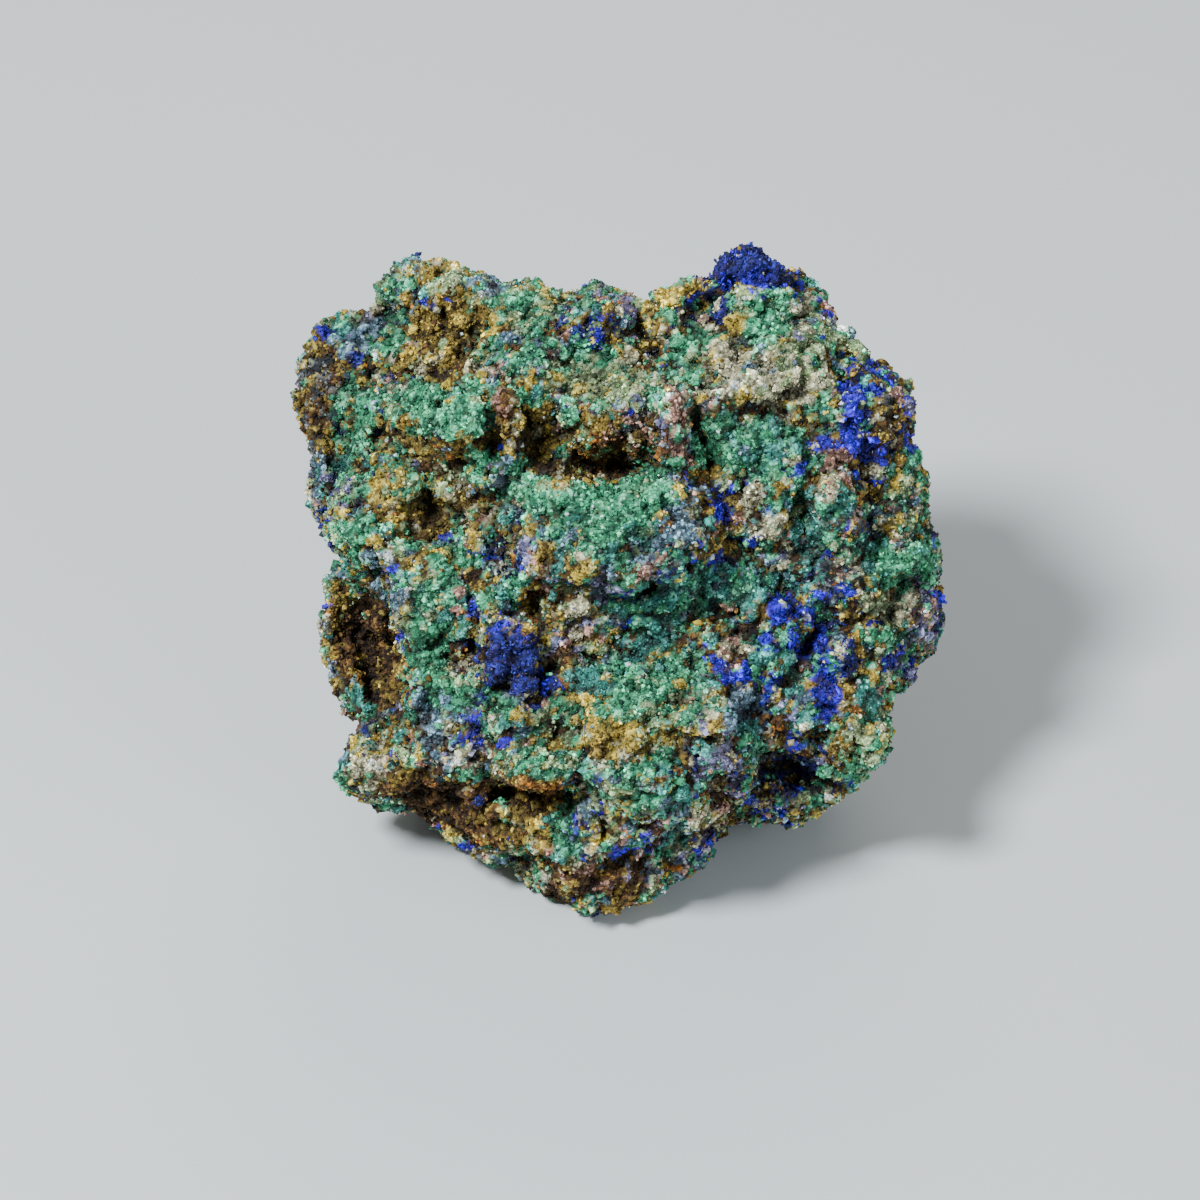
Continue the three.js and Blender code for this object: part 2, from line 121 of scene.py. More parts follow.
# Patches of the show face for each mineral: middle, half sizes, strength, and turn in degrees where
# it isn't 0.
patches = {
    "azurite": [
        (15.5, 36.4, 5.4, 3.4, 3), (17.4, 34.6, 2.8, 1.3, 2.8), (20.5, 33.8, 1.5, 0.9, 3.4),
        (-3.4, 29.2, 2.9, 1.9, 4.2, 20), (-3, 27, 1.2, 1.3, 3), (-4.1, 32.8, 3.2, 0.9, 2.4),
        (20.9, 26, 1, 1.2, 3.4), (22, 21.5, 1.2, 1, 3.6), (25.8, 24.7, 1.7, 0.8, 2.8),
        (1.9, 24.8, 1.4, 0.7, 2.6), (29.6, 23.4, 3.4, 2.6, 2.8), (27.1, 21.3, 2.2, 2, 2.6),
        (27, 17.3, 2.9, 3, 4.9), (23.1, 15.2, 2.9, 1.3, 4.2), (28.8, 14.4, 3.6, 1.4, 3.8),
        (28, 11.8, 1.8, 2.4, 4), (32.9, 17.2, 1.2, 3, 3.4), (20.5, 12.8, 1, 1.5, 4, -20),
        (18.8, 11, 1.8, 0.9, 3.6, 20), (11.6, 7.6, 1.5, 2.9, 5, 20), (10.3, 2.4, 2.8, 1.1, 4, 10),
        (15.5, 4.2, 1, 1, 4), (0.3, -2.2, 1.3, 1.8, 4.4), (-5.6, -6, 2, 1, 3, 40),
        (-13.9, -6, 1.6, 1.8, 3.6), (-11.4, -7.8, 1.4, 1.8, 3.4), (-12, -12.2, 3.4, 1.3, 2.8),
        (-14.8, -11, 1.5, 1.8, 3.2), (-17, -16.9, 1.8, 1.8, 3.8, 10), (-8.3, -12.7, 1.2, 1.1, 3),
        (-18.3, -19.3, 1.2, 1, 3), (-14.6, -19, 2, 0.9, 3, 15), (-17.5, -3.8, 1, 1.2, 3.6),
        (-21.2, 31.2, 1.8, 1, 3.6), (-23.3, 32.6, 0.8, 0.7, 3.2), (-25.9, 23.4, 1.8, 0.7, 2.8, -20),
        (-31.6, 26, 1.2, 1, 2.8), (-34, 17.3, 0.9, 1.4, 2.8), (-34.9, 5.8, 1.5, 2, 3),
        (-34, -2.5, 1.2, 2.6, 3.2), (-26.7, 0.3, 1.6, 0.8, 2.6), (-25.6, -6.8, 1, 1, 3),
        (-29.9, -19.8, 1.4, 1, 2.4), (-5.5, -28.5, 1, 1.2, 3.4), (-4.7, -31.6, 1.2, 1, 3.4),
        (0, -31.7, 2.6, 1.5, 3.6, 10), (9.2, -31.1, 1.6, 1.8, 4), (11.9, -23.7, 1.1, 1.4, 3.2),
        (18.2, -4.1, 2, 1.4, 4.6), (24.5, -1.7, 2.2, 1.4, 4.6), (21, -4, 1, 1, 3.6),
        (16.6, -7.7, 1.1, 1.1, 4), (10, -7.8, 1.1, 1.1, 3), (7.4, -1.2, 0.9, 0.7, 3, 30),
        (12.4, -3.4, 0.9, 0.8, 2.8), (13.2, -11.1, 2.6, 1.2, 4), (10.8, -9.8, 1, 1, 3),
        (20.3, -8.5, 1.3, 1.3, 4), (22.6, -7.2, 1.2, 1.8, 4.2), (23, -12.5, 1.6, 2.4, 4.6),
        (22.6, -15.7, 1.8, 1.8, 4), (15.8, -15.3, 1.1, 1.5, 3.2), (20, -19.3, 1.5, 1.6, 3.4),
        (21.8, -22.2, 1.9, 1.1, 3.6), (14.5, -26.6, 1.4, 1.1, 3.4), (18.2, -27.4, 2.2, 1.3, 3.8),
        (20.5, -25, 1.8, 1.4, 3.6), (25.4, -24.6, 1.2, 1, 3), (31, -9.8, 1.1, 1.1, 4.2),
        (33.4, -10.6, 1.2, 1, 4), (28.9, -5.1, 1.2, 1.2, 4), (36.8, -2.7, 1.5, 1.2, 4.4),
        (37.3, -5.4, 1, 1.2, 3.6), (27.3, 2.6, 0.9, 1.3, 4), (17.3, -12.2, 1.4, 1.2, 3),
        (18.5, -9, 6, 7, 1.7), (23.8, 31.2, 1.8, 0.7, 2.8, -40),
    ],
    "navy": [
        (15, 36.6, 5, 3.2, 4.6), (8.7, 32.8, 2.6, 1.4, 4, 30), (6.6, 30.7, 1.5, 1.1, 3.4),
        (10.5, 30.2, 2, 0.8, 4), (7.9, 28.9, 1.2, 0.7, 3, 20), (3.7, 25.3, 1.2, 0.7, 3),
        (-21.7, 23.4, 2.4, 0.8, 3.2), (-34.3, 10.8, 1.4, 2.6, 3.2), (-14.9, 3.1, 1.2, 1.6, 4.4),
        (-13, 0.4, 1.3, 0.9, 3.8), (-28, -14.4, 1.8, 1.3, 3.2), (-29.4, -11, 1, 2, 3.4),
        (-29, -5.4, 0.9, 1.4, 3), (-15.8, -26.2, 1.3, 0.9, 3.8), (-20.8, -23.4, 1.4, 0.8, 3),
        (-32.6, -8.5, 1.3, 3.8, 3.8), (-30.7, -17.4, 2, 1.6, 2.2), (-9.4, -27.7, 1.2, 0.8, 3),
        (25.8, -8.3, 1.6, 2.2, 4), (25.5, -11.1, 0.9, 1, 3), (28.1, 5.8, 0.8, 0.9, 3.4),
        (7.9, 10.5, 1.3, 0.9, 3), (18.6, -22.4, 3.4, 2.2, 3), (18.5, -10, 6, 7, 1.5),
        (10.8, -30, 0.9, 1, 2.6), (-10, -15, 2, 1.2, 2.2, 20), (-14.6, -8.8, 2, 1.8, 5.2),
        (-12.4, -9.8, 2.2, 1.4, 4.4), (-12, -12.4, 3.6, 1.6, 3.8), (-13, -7, 2.8, 2.6, 3.6),
        (27, 20.5, 3.6, 3, 1.8), (-26, -9, 1, 3, 1.8), (-32, 25.5, 0.9, 7, 2.6, -28),
        (17.3, 34.6, 2, 0.8, 2),
    ],
    "mint": [
        (-25.4, 26.5, 1.8, 1.4, 3.4), (-28.6, 27, 2.2, 1.8, 2.6), (-15.4, 26.5, 2, 1.3, 3),
        (-9.4, 26.5, 2, 1.3, 3.2), (-5.2, 25.6, 1.4, 1.1, 3), (-2, 25.2, 1.2, 0.9, 3),
        (-11.7, 24.2, 1.6, 1.5, 3), (-17.3, 21.8, 1.8, 1.3, 3), (-22.6, 20.6, 2.4, 2, 2.6),
        (-18, 17.8, 2.8, 2.1, 4.2), (-31.2, 20.5, 3, 2.4, 2.4), (-31.2, 16.5, 2.8, 2.2, 2.4),
        (-15.4, 13.9, 1.9, 1.5, 3.8), (-16.2, 11.3, 1.7, 1.3, 3.2), (-31.7, 4.7, 2.4, 1.9, 2.8),
        (-10.7, 9.2, 2, 1.8, 3.4), (-6.5, 8.4, 3.4, 2.2, 4.4), (-1.5, 8, 3.4, 2.2, 4),
        (2.4, 9.6, 3, 1.8, 3.2, 10), (-5.6, 4.6, 3, 2, 2.6), (4.2, 20, 1.8, 1.5, 2.4),
        (15.3, 29.9, 2.8, 2.1, 3.4), (17.9, 32.3, 1.3, 1.1, 2.8), (20.8, 35, 0.7, 0.7, 4),
        (7.7, 24.7, 1.9, 2.8, 3.4), (24.7, 18.2, 1, 0.9, 5), (-22, -5, 2.8, 4, 2.4),
        (-9.4, -20.8, 2.2, 1.3, 4), (-6.5, -14.8, 1.7, 1.7, 2.6), (4, -20.9, 2, 1.4, 3),
        (0.5, -22, 2.2, 1.4, 2.8), (-32.2, -22.9, 1.8, 2, 2.4), (-25.7, -21.6, 1.2, 3, 2),
        (14.2, 12.6, 2, 1, 2), (17.2, 3.2, 2.4, 1, 2, 10), (33.4, 1.6, 2.4, 1.6, 2),
        (2, -15, 4.8, 3, 3.2, 20), (0.5, 8, 5.4, 2.6, 1.6, 10), (14, 25, 4, 2, 1.6),
        (9.5, -2.6, 4, 2, 3.6, 34), (5, -4, 3, 1.6, 2, 34),
    ],
    "green": [
        (-12.8, 31, 4.6, 2.4, 2.4), (-10.2, 20.7, 2.2, 1.4, 2.8), (-7, 17.9, 1.5, 1.3, 2.6),
        (-22.4, 19, 4.4, 2.8, 3), (-29.9, 9.7, 1.4, 1.8, 2.8), (-19.6, 2.4, 2.2, 1.7, 3),
        (-24, 11, 3, 1.6, 2), (1.3, 8.4, 4.6, 2.4, 2.6), (-1, 4.4, 3.4, 2, 2.2),
        (14.5, 15.5, 5.6, 2.5, 4), (10, 14.4, 2.2, 1.7, 3), (17.4, 11.4, 3.2, 1.5, 2.8),
        (33.3, 1.6, 3, 2, 4), (33.4, 14.3, 1.3, 1.3, 3), (-20.4, -12.6, 3.6, 2.7, 2.8),
        (3, -13, 6, 3.4, 0.8, 30), (-13.6, -15, 1.3, 1.3, 3), (0.9, -14.4, 4.2, 3.6, 3.4, 20),
        (5.8, -10.6, 4, 1.6, 3, 30), (-7, -29.6, 2, 2.6, 2.6), (-14, -26.4, 0.9, 0.8, 3),
        (-31, -13, 1, 2, 2.6), (31, -7, 1.5, 1.3, 3), (2.7, -25.8, 3.2, 1.7, 2.4),
        (-12.5, -0.8, 2, 2.2, 2.4), (-22, -1.6, 3, 1.6, 2), (7.6, 26.6, 1.6, 1.6, 2),
        (27.4, -22.4, 2.6, 1.4, 1.8), (10.4, 27, 1.4, 1.6, 1.8), (-3, 23.4, 4.6, 1.6, 2.2),
        (-22.6, -8.6, 2, 2, 2.4),
    ],
    "teal": [
        (5.3, -2, 5.4, 3, 3, 34), (12.6, -1.4, 3, 2.2, 3.2), (15.8, -0.4, 3.4, 1.8, 3.2, 10),
        (13.6, 15, 5.6, 2.6, 2.6), (21.6, 5.5, 2, 4.6, 3.8, -12), (25.2, 9, 1.2, 2.2, 3),
        (28.7, 3.4, 1.6, 1.8, 3), (18, -9.6, 6, 6.4, 2.4), (14.5, -18.8, 1.6, 2.8, 4.4),
        (-4, -12.4, 2.4, 1.8, 3.2), (-9.6, -17.4, 2, 1, 2.6), (-31.2, -14.8, 2, 1.9, 2.4),
        (5.6, -29.8, 1.8, 2.5, 3.4), (28.7, -14, 1.8, 1.7, 3.2), (0.4, 3.4, 3, 1.4, 2.2, 10),
        (-13, -2, 1.8, 1.4, 2), (5, -6.6, 3, 1.8, 3, 30), (1.4, -8.8, 3, 1.6, 2.8, 34),
        (-10.7, -32, 1.6, 1.2, 2), (-19.5, -14.6, 3, 1.6, 1.8), (18.4, 8.6, 2, 1, 2.4, 20),
        (22, -18, 2, 2.4, 2),
    ],
    "slate": [
        (-25, 36.6, 1.4, 1, 3), (-16.7, 33.6, 4, 1.2, 3.4, -8), (-30.6, 28.2, 1, 5.5, 3.4, -50),
        (-36.2, 13, 1, 4.4, 2.8), (-7.6, 5, 2.2, 1.3, 2.8), (6.4, 6.2, 2.6, 2.4, 3.2, 20),
        (-27.8, 2, 3, 1.5, 2.2), (-26.2, -2.5, 1.6, 3, 2.2), (-27.2, -9.6, 0.8, 3, 3),
        (-22, -18, 1.3, 4.4, 3.4, 14), (-3.4, -25.4, 3.6, 1.4, 2.4), (13.2, -14.8, 2.3, 2.2, 4.4),
        (5.8, -26.4, 1.9, 1.3, 2.8), (-33.4, -9, 1, 3.4, 0.8), (25.2, 28.6, 2.6, 1.9, 2.4),
        (5.3, -11.4, 1.6, 1, 2), (3, 3.6, 3.2, 1, 2.6, 34), (9, -2.4, 4, 1.8, 3.4, 34),
        (-2.3, -0.9, 0.8, 3.2, 2.8), (27.9, -18.5, 2.6, 1.8, 2.2), (15, 23, 5.5, 3, 2),
    ],
    "ochre": [
        (-22, 28.8, 5.2, 3, 4), (-22, 24.3, 4, 1.7, 3.4), (-22.5, 18.6, 4.6, 2.8, 1.2),
        (-10.7, 33.5, 1.6, 0.9, 2.8), (-16.7, 15.5, 3, 1.1, 2.8), (-25.4, 17.4, 2.6, 1.9, 2.8),
        (-26.4, 14.6, 3, 1.6, 3), (-10.2, 17.6, 2.4, 3, 3), (-5.7, 12.4, 3.6, 2.2, 3.2),
        (-26, 8.7, 3.4, 2, 2.4), (-20.6, 6.8, 4.2, 2.1, 3.6), (4.2, 29.9, 2, 1.6, 3),
        (8.8, 12.2, 1.7, 2, 2.6), (-28, -9.3, 2.6, 5.4, 4, 8), (-33.2, -9, 1.4, 4.6, 3),
        (-32.5, -3.5, 1.5, 2.4, 2.8), (-17, -28.6, 4.6, 1.7, 3, -25), (26.6, -4.3, 1.9, 2, 2.8),
        (25, -19.3, 1.5, 2, 2.8), (14, 17.4, 1.5, 0.9, 2.8), (-36, 21, 1.6, 6, 1.6),
        (-4.5, 17.4, 2.4, 2, 2.4), (-28.6, -23, 3, 2, 1.8), (-34, 24, 1.8, 3, 1.2),
        (20, 17.6, 3, 1, 2, 10),
    ],
    "yellow": [
        (-22.3, 35.6, 3.4, 1.5, 3), (6.1, 32.8, 3.4, 1.3, 4.6, 20), (9.2, 34.4, 1.5, 0.9, 3),
        (9, 30.9, 1, 0.7, 2.6), (24, 23.4, 2.4, 2, 3.2), (27.6, 26, 2.6, 1, 2.4),
        (18, 20.6, 4.5, 1.6, 2.4), (-2, 22.2, 5, 1.8, 3.2), (-12.3, -27.1, 1.8, 1.1, 4.6),
        (-10.2, -29.8, 2.2, 2.2, 3.2), (-2.6, -18.8, 3.4, 2, 3.8), (1.4, -17.4, 3, 1.6, 3.2),
        (2, -14.6, 4.6, 2.6, 3, 20), (5.3, -18, 1.8, 1.1, 2.8), (-4.7, 0.2, 1.7, 1.9, 2.8),
        (28.4, -10.4, 1.7, 2.1, 3), (-17, 4.6, 1.6, 1.2, 2.6), (10.5, -13.4, 1.8, 1, 2.6),
        (-14.5, -22, 1.6, 1, 2.2), (25.8, -14, 1.7, 1.5, 2.4), (30.8, 5.8, 1.8, 1.3, 2),
        (-24.6, 7.6, 2, 1.4, 2.2),
    ],
    "orange": [
        (-20.7, 14.2, 2.8, 1.1, 3), (-16.4, 15.2, 2, 0.8, 2.4), (-10.4, -2.5, 1.7, 1.3, 4),
        (-18.6, -5.2, 1.6, 1.2, 3), (-28, -12.6, 1.8, 2, 2.6), (-28.8, -11.7, 2.6, 1, 2, -40),
        (-10, -24.6, 3, 1.6, 7), (-21.4, -25, 4, 1.8, 3.2, -25), (7.4, -5.6, 1.1, 0.9, 3.6),
        (13.2, 0.9, 0.9, 0.8, 3), (31, -14.4, 1.3, 0.9, 3.4), (25.6, -13.4, 1.5, 1.1, 2.8),
        (18.2, -17, 1.1, 1.6, 2.4), (-8.1, -23.3, 1, 0.7, 3), (-16, -28.6, 3, 1, 2.4, -25),
        (18.2, -14, 1.1, 0.9, 2.4), (-17.3, -0.6, 1.2, 1, 2.6), (-30.6, -12.8, 1, 1, 2.6),
        (20.6, 18.2, 1, 0.6, 2.4), (0.4, 13.4, 2.4, 1.1, 2.6),
    ],
    # Rust patches in the cave of the left side, at the mouth, along the lower left and round the
    # azurite rosette stand partly for real rust and partly for painted shade where those parts lie in
    # shadow.
    "rust": [
        (-1, 15.2, 3.4, 2, 2.8), (-13.3, 18.8, 1, 3, 2.6, 4), (-13, -24.7, 4.4, 1.4, 5),
        (-10, -26.6, 3, 1.6, 2.6), (-13, -8.6, 2.8, 3.8, 1.4), (-22.4, -25.8, 4.6, 2, 3, -25),
        (-3.9, -35.4, 5.6, 2.2, 4.2), (27.6, 9.5, 1.4, 1.4, 3), (12.1, -25.8, 2, 1.7, 2.8),
        (31, 17.2, 1.7, 1.9, 2.4), (-28.4, -8.6, 2.6, 6.4, 5, 8), (-33, -10, 1.4, 4.6, 3),
        (-20, -27, 7.5, 2.6, 5, -25), (-6, -8.5, 2.8, 1.3, 2.8, 40), (-25, 17, 2, 1.2, 1.8),
        (12.6, 18.8, 4, 0.8, 2.4, 12), (-1.2, 12, 2.4, 1.2, 3), (-36, 22, 1.8, 6, 3.4),
        (-20.5, 24, 3, 1, 2),
    ],
    "pink": [
        (0.3, 31.8, 1.2, 2.2, 2.4), (-13.3, 19.4, 0.9, 3.6, 3.4, 5), (-8.9, 1.8, 1.9, 1.7, 3.2),
        (1.3, 16.3, 3.2, 2.1, 3), (6.1, 16, 1.3, 3.8, 3.8, 6), (23.8, 31.4, 1.5, 1.4, 3),
        (8.7, 20.7, 2.4, 1.6, 2.2), (12.1, 24.9, 3, 2.2, 2), (23.9, 13.6, 1.5, 1.1, 3),
        (26.3, 12, 1.2, 1.7, 2.4), (4.2, 2.2, 5, 0.7, 4, 36), (11, 5.2, 1.4, 1.4, 2.8),
        (23.4, 9.6, 1.6, 1.6, 2.4), (17.3, 5.6, 2.4, 1.4, 2), (-6, -8, 2.8, 1.1, 2.6, 40),
        (-3.4, -34.8, 4.4, 1.3, 3), (18.2, -17.2, 1.1, 1.7, 2.6), (34.2, -4.3, 2, 2, 2.4),
        (12.3, -8.8, 1.8, 1.4, 2.8), (15.5, -12, 4.5, 5, 1.3), (-17.6, -10.3, 1.8, 0.9, 2.2),
        (31, 17.3, 1.6, 1.8, 2.2), (4, -28.6, 1.8, 1.4, 2), (-7.6, 21.6, 1, 1, 2),
    ],
    "tan": [
        (-14.4, 23.4, 2.1, 1.4, 2.8), (-10.2, 16.6, 2.2, 2.2, 2), (20.5, 30.4, 3, 1.6, 3),
        (10.3, 28.8, 1.8, 1.3, 2.8), (12.1, 25, 3.4, 2.4, 3), (17.8, 21, 4.5, 1.8, 3.2),
        (15, 23.4, 5.6, 2.6, 2.2), (19.5, 13.8, 1.3, 1.4, 3.6), (23.4, 9.6, 1.7, 1.7, 3.4),
        (14.2, 8.7, 1.5, 1.5, 3), (17.1, 5.8, 2.6, 2, 2.8), (30.8, 5.8, 2.2, 1.9, 3.2),
        (31, -3, 2.8, 2, 2.8), (12.1, -8, 1.8, 1.5, 3), (-5.4, -4, 1.9, 1.7, 3),
        (-10.4, -14.8, 2.3, 1.6, 3, 10), (-29, -22.6, 3.4, 2.6, 3.2), (-25.9, -6.7, 1.2, 3.2, 2.4),
        (-18.3, -10.3, 2, 1, 2.2), (-17.3, -20.8, 2.2, 1.6, 2), (10, -28.2, 1.7, 1.7, 3),
        (16.4, -27.2, 2, 1, 2), (-5.7, 11.6, 3, 1.6, 2.2), (0.6, -19.8, 1.8, 1.4, 2.4),
        (-26, 9.5, 2.8, 1.8, 2), (28.4, 12.8, 1.1, 1.3, 2), (8.2, 22, 2, 1.6, 2),
        (-2.6, -29, 1.6, 1.6, 1.8),
    ],
    "sage": [
        (-20.5, 34.4, 4, 1.4, 2.6), (-12.4, 31.4, 4.4, 2.2, 2.6), (-2.3, 22.8, 5.6, 2.4, 4.2),
        (18.4, 24.2, 3.2, 2.4, 2.8), (27.6, 26.2, 2.6, 1.1, 2.6), (23.1, 27.3, 2.6, 1.6, 2.6),
        (32.3, 11.8, 1.9, 2.1, 3.4), (31, -3, 2.6, 1.8, 2.4), (-12.3, -21.1, 2, 1.5, 3),
        (2.4, -14.4, 4.8, 3, 3, 20), (-3.4, -25.6, 3.2, 1.6, 2.4), (27.6, -19.4, 3.4, 3, 3.6),
        (30, -16.1, 1.7, 1.1, 2.8), (0.5, 4, 2.6, 1.4, 1.8), (-25, 9.4, 3, 2, 2),
        (9.9, -14, 1.6, 1, 2.2), (-36.5, 20, 1.2, 6, 1.8),
    ],
    "mauve": [
        (0.5, 31.4, 1, 2.4, 3), (6.6, 15.4, 1, 3.4, 2.2, 6), (-10.7, 2.9, 1.6, 2, 2.6),
        (-2.3, -1, 0.8, 3, 4), (-5.8, -6.6, 3, 1.2, 2.8, 40), (12.1, -21, 1.2, 3.6, 5.4, 4),
        (9, -21.4, 1.6, 2.4, 2.4), (3.2, -28.5, 2, 1.6, 3), (2.4, -34.6, 1.8, 1.3, 3),
        (6.9, -33.2, 1.9, 1.3, 2.8), (35.6, -6, 1.6, 2, 2.6), (6, 5, 2.6, 1.2, 2.4, 25),
        (-17.3, -20.8, 2.4, 1.9, 2.4), (5.3, -11.4, 1.6, 1, 2.6), (-13.6, 24.4, 1.6, 1, 1.6),
    ],
    # Grey patches in the cave of the left side and round the azurite rosette stand partly for grey
    # stone and partly for painted shade in those dark gaps.
    "grey": [
        (-36, 20, 2.2, 7, 5), (-22.6, -17.6, 1.8, 3.6, 2.4, 12), (27.6, -20, 3.4, 2.8, 3.4),
        (18.6, -22, 3, 2.2, 3.6), (32.8, -7.4, 1.6, 1.4, 2.6), (33.6, 19.7, 0.9, 2, 2.4),
        (-30.8, 28, 1.4, 4, 2.2, -50), (-25.4, 17.6, 2, 1.2, 2), (-17.3, -20.8, 2, 1.6, 2),
        (-29, -10, 1.8, 4.4, 3), (-13, -8.6, 2.8, 3.8, 1.6), (11.4, -0.4, 1.8, 1.2, 1.6, 30),
    ],
    "pale": [
        (-15.5, 33.4, 3, 0.9, 2.6, -8), (-19.1, 2.9, 0.7, 1.6, 3.4, -20), (-22.8, 0.4, 1.4, 1.2, 3),
        (-27.8, 2.4, 2.2, 1.2, 2.2), (-26, -3, 1.2, 2.4, 2.2), (-29, -21.6, 2.6, 2, 2.6),
        (32.3, 4.6, 1.4, 1, 2), (2.6, -34.4, 1.4, 1, 2.4), (-36.6, 24, 0.7, 1.4, 2.6),
        (14.2, 9, 1.2, 1, 2), (15, 22.6, 5, 3, 2.9), (4.4, 20.4, 1.6, 1.2, 2),
        (6.9, -33.2, 1.4, 1, 2),
    ],
}

# How each mineral is spread apart from its patches. A weight of two numbers is what it is behind,
# and how much less it is on the show face.
spread = {
    "wrap": 0.75, # how far the patches go round the edges of the show face
    "wanderWidths": (3.1, 1.3), # mm, of the waves that bend the edges of patches
    "wanderReach": (0.7, 0.45), # mm
    "common": (1.6, 0.6),
    "waves": (1.4, 0.6),
    "fineWaves": (0.6, 2.4), # share of the waves, and width in mm
    "broadWaves": (4.2, 2), # weight behind, and width in widths of the mineral's own patches
    "patchEdge": (0.8, 1.4), # how fast a patch fades, and how sharply
}

# How strongly the minerals are mixed, from block to block and from grain to grain.
mixing = {
    "stones": 0.4,
    "knobs": 0.65,
    "grains": 0.22,
    "grainWidth": 0.4, # mm
    "chance": (0.001, 0.999), # the least and the most
}

# Seeds of the noises. One that serves all the minerals is the first of a run of seeds.
seeds = {
    "wanderAcross": 11, "wanderUp": 13, "waves": 20, "fineWaves": 60, "broadWaves": 500,
    "stoneMix": 200, "knobMix": 300, "grainMix": 400, "knobLight": 77, "rockShade": 4,
    "carvingAcross": 81, "carvingUp": 82, "crusts": 41,
}


def onlySelect(piece):
    bpy.ops.object.select_all(action="DESELECT")
    piece.select_set(True)
    bpy.context.view_layer.objects.active = piece


def vertexPlaces(piece):
    flat = np.empty(3 * len(piece.data.vertices))
    piece.data.vertices.foreach_get("co", flat)
    return flat.reshape(-1, 3)


def placesInMm(piece):
    return vertexPlaces(piece) * mmPerMetre


def vertexNormals(piece):
    flat = np.empty(3 * len(piece.data.vertices), dtype=np.float32)
    piece.data.vertex_normals.foreach_get("vector", flat)
    return flat.reshape(-1, 3).astype(float)


# Repeatable noise, with its shapes given in widths of its blocks
noiseLook = {
    "bend": (0.8, 0.36), # width and reach of what bends the blocks
    "crag": (0.5, 0.75, 0.1), # a block's own height, its dome, and what is taken off
    "pit": (0.12, 0.1), # reach of a pit and breadth of its sides, squared
    "crack": 0.2, # half width of a crack, in heights of its noise
}


def hashed(cell, seed):
    # a number from 0 to 1 for each cell, by multiplying with large odd numbers
    n = cell[..., 0] * 73856093 ^ cell[..., 1] * 19349663 ^ cell[..., 2] * 83492791
    n = n ^ (seed * 6542989 + 374761393)
    n = (n ^ (n >> 13)) * 1274126177
    n = (n ^ (n >> 16)) * 668265263
    n = n ^ (n >> 15)
    return (n & 0xFFFFFF) / 0xFFFFFF


def cellsOf(points, width):
    return np.floor(points / width).astype(np.int64)


def softNoise(points, width, seed):
    # smooth, from about -1 to 1
    cell = cellsOf(points, width)
    share = points / width - cell
    share = share * share * (3 - 2 * share)
    total = np.zeros(len(points))
    for corner in itertools.product((0, 1), repeat=3):
        step = np.array(corner)
        weight = np.prod(np.where(step, share, 1 - share), axis=1)
        total += weight * hashed(cell + step, seed)
    return 2 * total - 1


def nearestBlock(points, width, seed):
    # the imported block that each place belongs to, and how far its middle is, squared, in widths
    q = points / width
    cell = cellsOf(points, width)
    nearest = np.full(len(points), 9.0) # farther than any middle can be
    home = cell.copy()
    for step in itertools.product((-1, 0, 1), repeat=3):
        there = cell + np.array(step)
        middle = there + np.stack([hashed(there, seed + k) for k in (1, 2, 3)], axis=1)
        away = ((middle - q) ** 2).sum(axis=1)
        closer = away < nearest
        nearest = np.where(closer, away, nearest)
        home = np.where(closer[:, None], there, home)
    return home, nearest


def brokenBlock(points, width, seed):
    # as nearestBlock, with the places pushed about a little, so that blocks lose their even look
    bendWidth, bendReach = noiseLook["bend"]
    push = [softNoise(points, bendWidth * width, seed + k) for k in (40, 41, 42)]
    return nearestBlock(points + bendReach * width * np.stack(push, axis=1), width, seed)


def cragNoise(points, width, seed):
    # packed broken blocks, each with its own height, from about 0 to 1
    home, nearest = brokenBlock(points, width, seed)
    own, dome, off = noiseLook["crag"]
    return own * hashed(home, seed + 9) + dome * (1 - nearest) - off


def pitNoise(points, width, seed):
    # round pits with steep sides, here and there
    reach, side = noiseLook["pit"]
    return -np.clip((reach - nearestBlock(points, width, seed)[1]) / side, 0, 1)


def crackNoise(points, width, seed):
    # narrow winding cracks
    return -np.clip(1 - np.abs(softNoise(points, width, seed)) / noiseLook["crack"], 0, 1)


# Where the show face ends: over what turn of the surface, how far behind it in mm, and over what
# depth in mm.
showEdge = {"turn": 0.45, "behind": 10, "depth": 6}


def showing(places, normals, wrap):
    # 1 on the show face and 0 round the back, a larger wrap going further round the edges
    turned = np.clip((normals @ faceAxes[2] + wrap) / showEdge["turn"], 0, 1)
    behind = onFace(places)[:, 2] + showEdge["behind"] + showEdge["behind"] * wrap
    return turned * np.clip(behind / showEdge["depth"], 0, 1)


def filled(row, length):
    # a row of a table, with the zeros that it leaves out at its end
    return (*row, 0, 0)[:length]


def ovalShare(across, up, x, y, halfX, halfY, turn, edge):
    # 1 in the middle of an oval on the show face, and less farther out
    c, s = math.cos(math.radians(turn)), math.sin(math.radians(turn))
    dx, dy = across - x, up - y
    along, aside = (dx * c + dy * s) / halfX, (dy * c - dx * s) / halfY
    fade, sharpness = edge
    return np.exp(-fade * (along ** 2 + aside ** 2) ** sharpness)


def mixedIn(scores, cells, amount, seed):
    # adds chance to the scores, the same chance all through a cell
    for column in range(len(kinds)):
        chance = np.clip(hashed(cells, seed + column), *mixing["chance"])
        scores[:, column] -= amount * np.log(-np.log(chance))


def wander(places, seed):
    # how far the edges of patches are bent, in mm
    broad, fine = spread["wanderWidths"]
    broadReach, fineReach = spread["wanderReach"]
    return broadReach * softNoise(places, broad, seed) + fineReach * softNoise(places, fine, seed + 1)


def faded(weight, onShow):
    behind, less = weight
    return behind - less * onShow


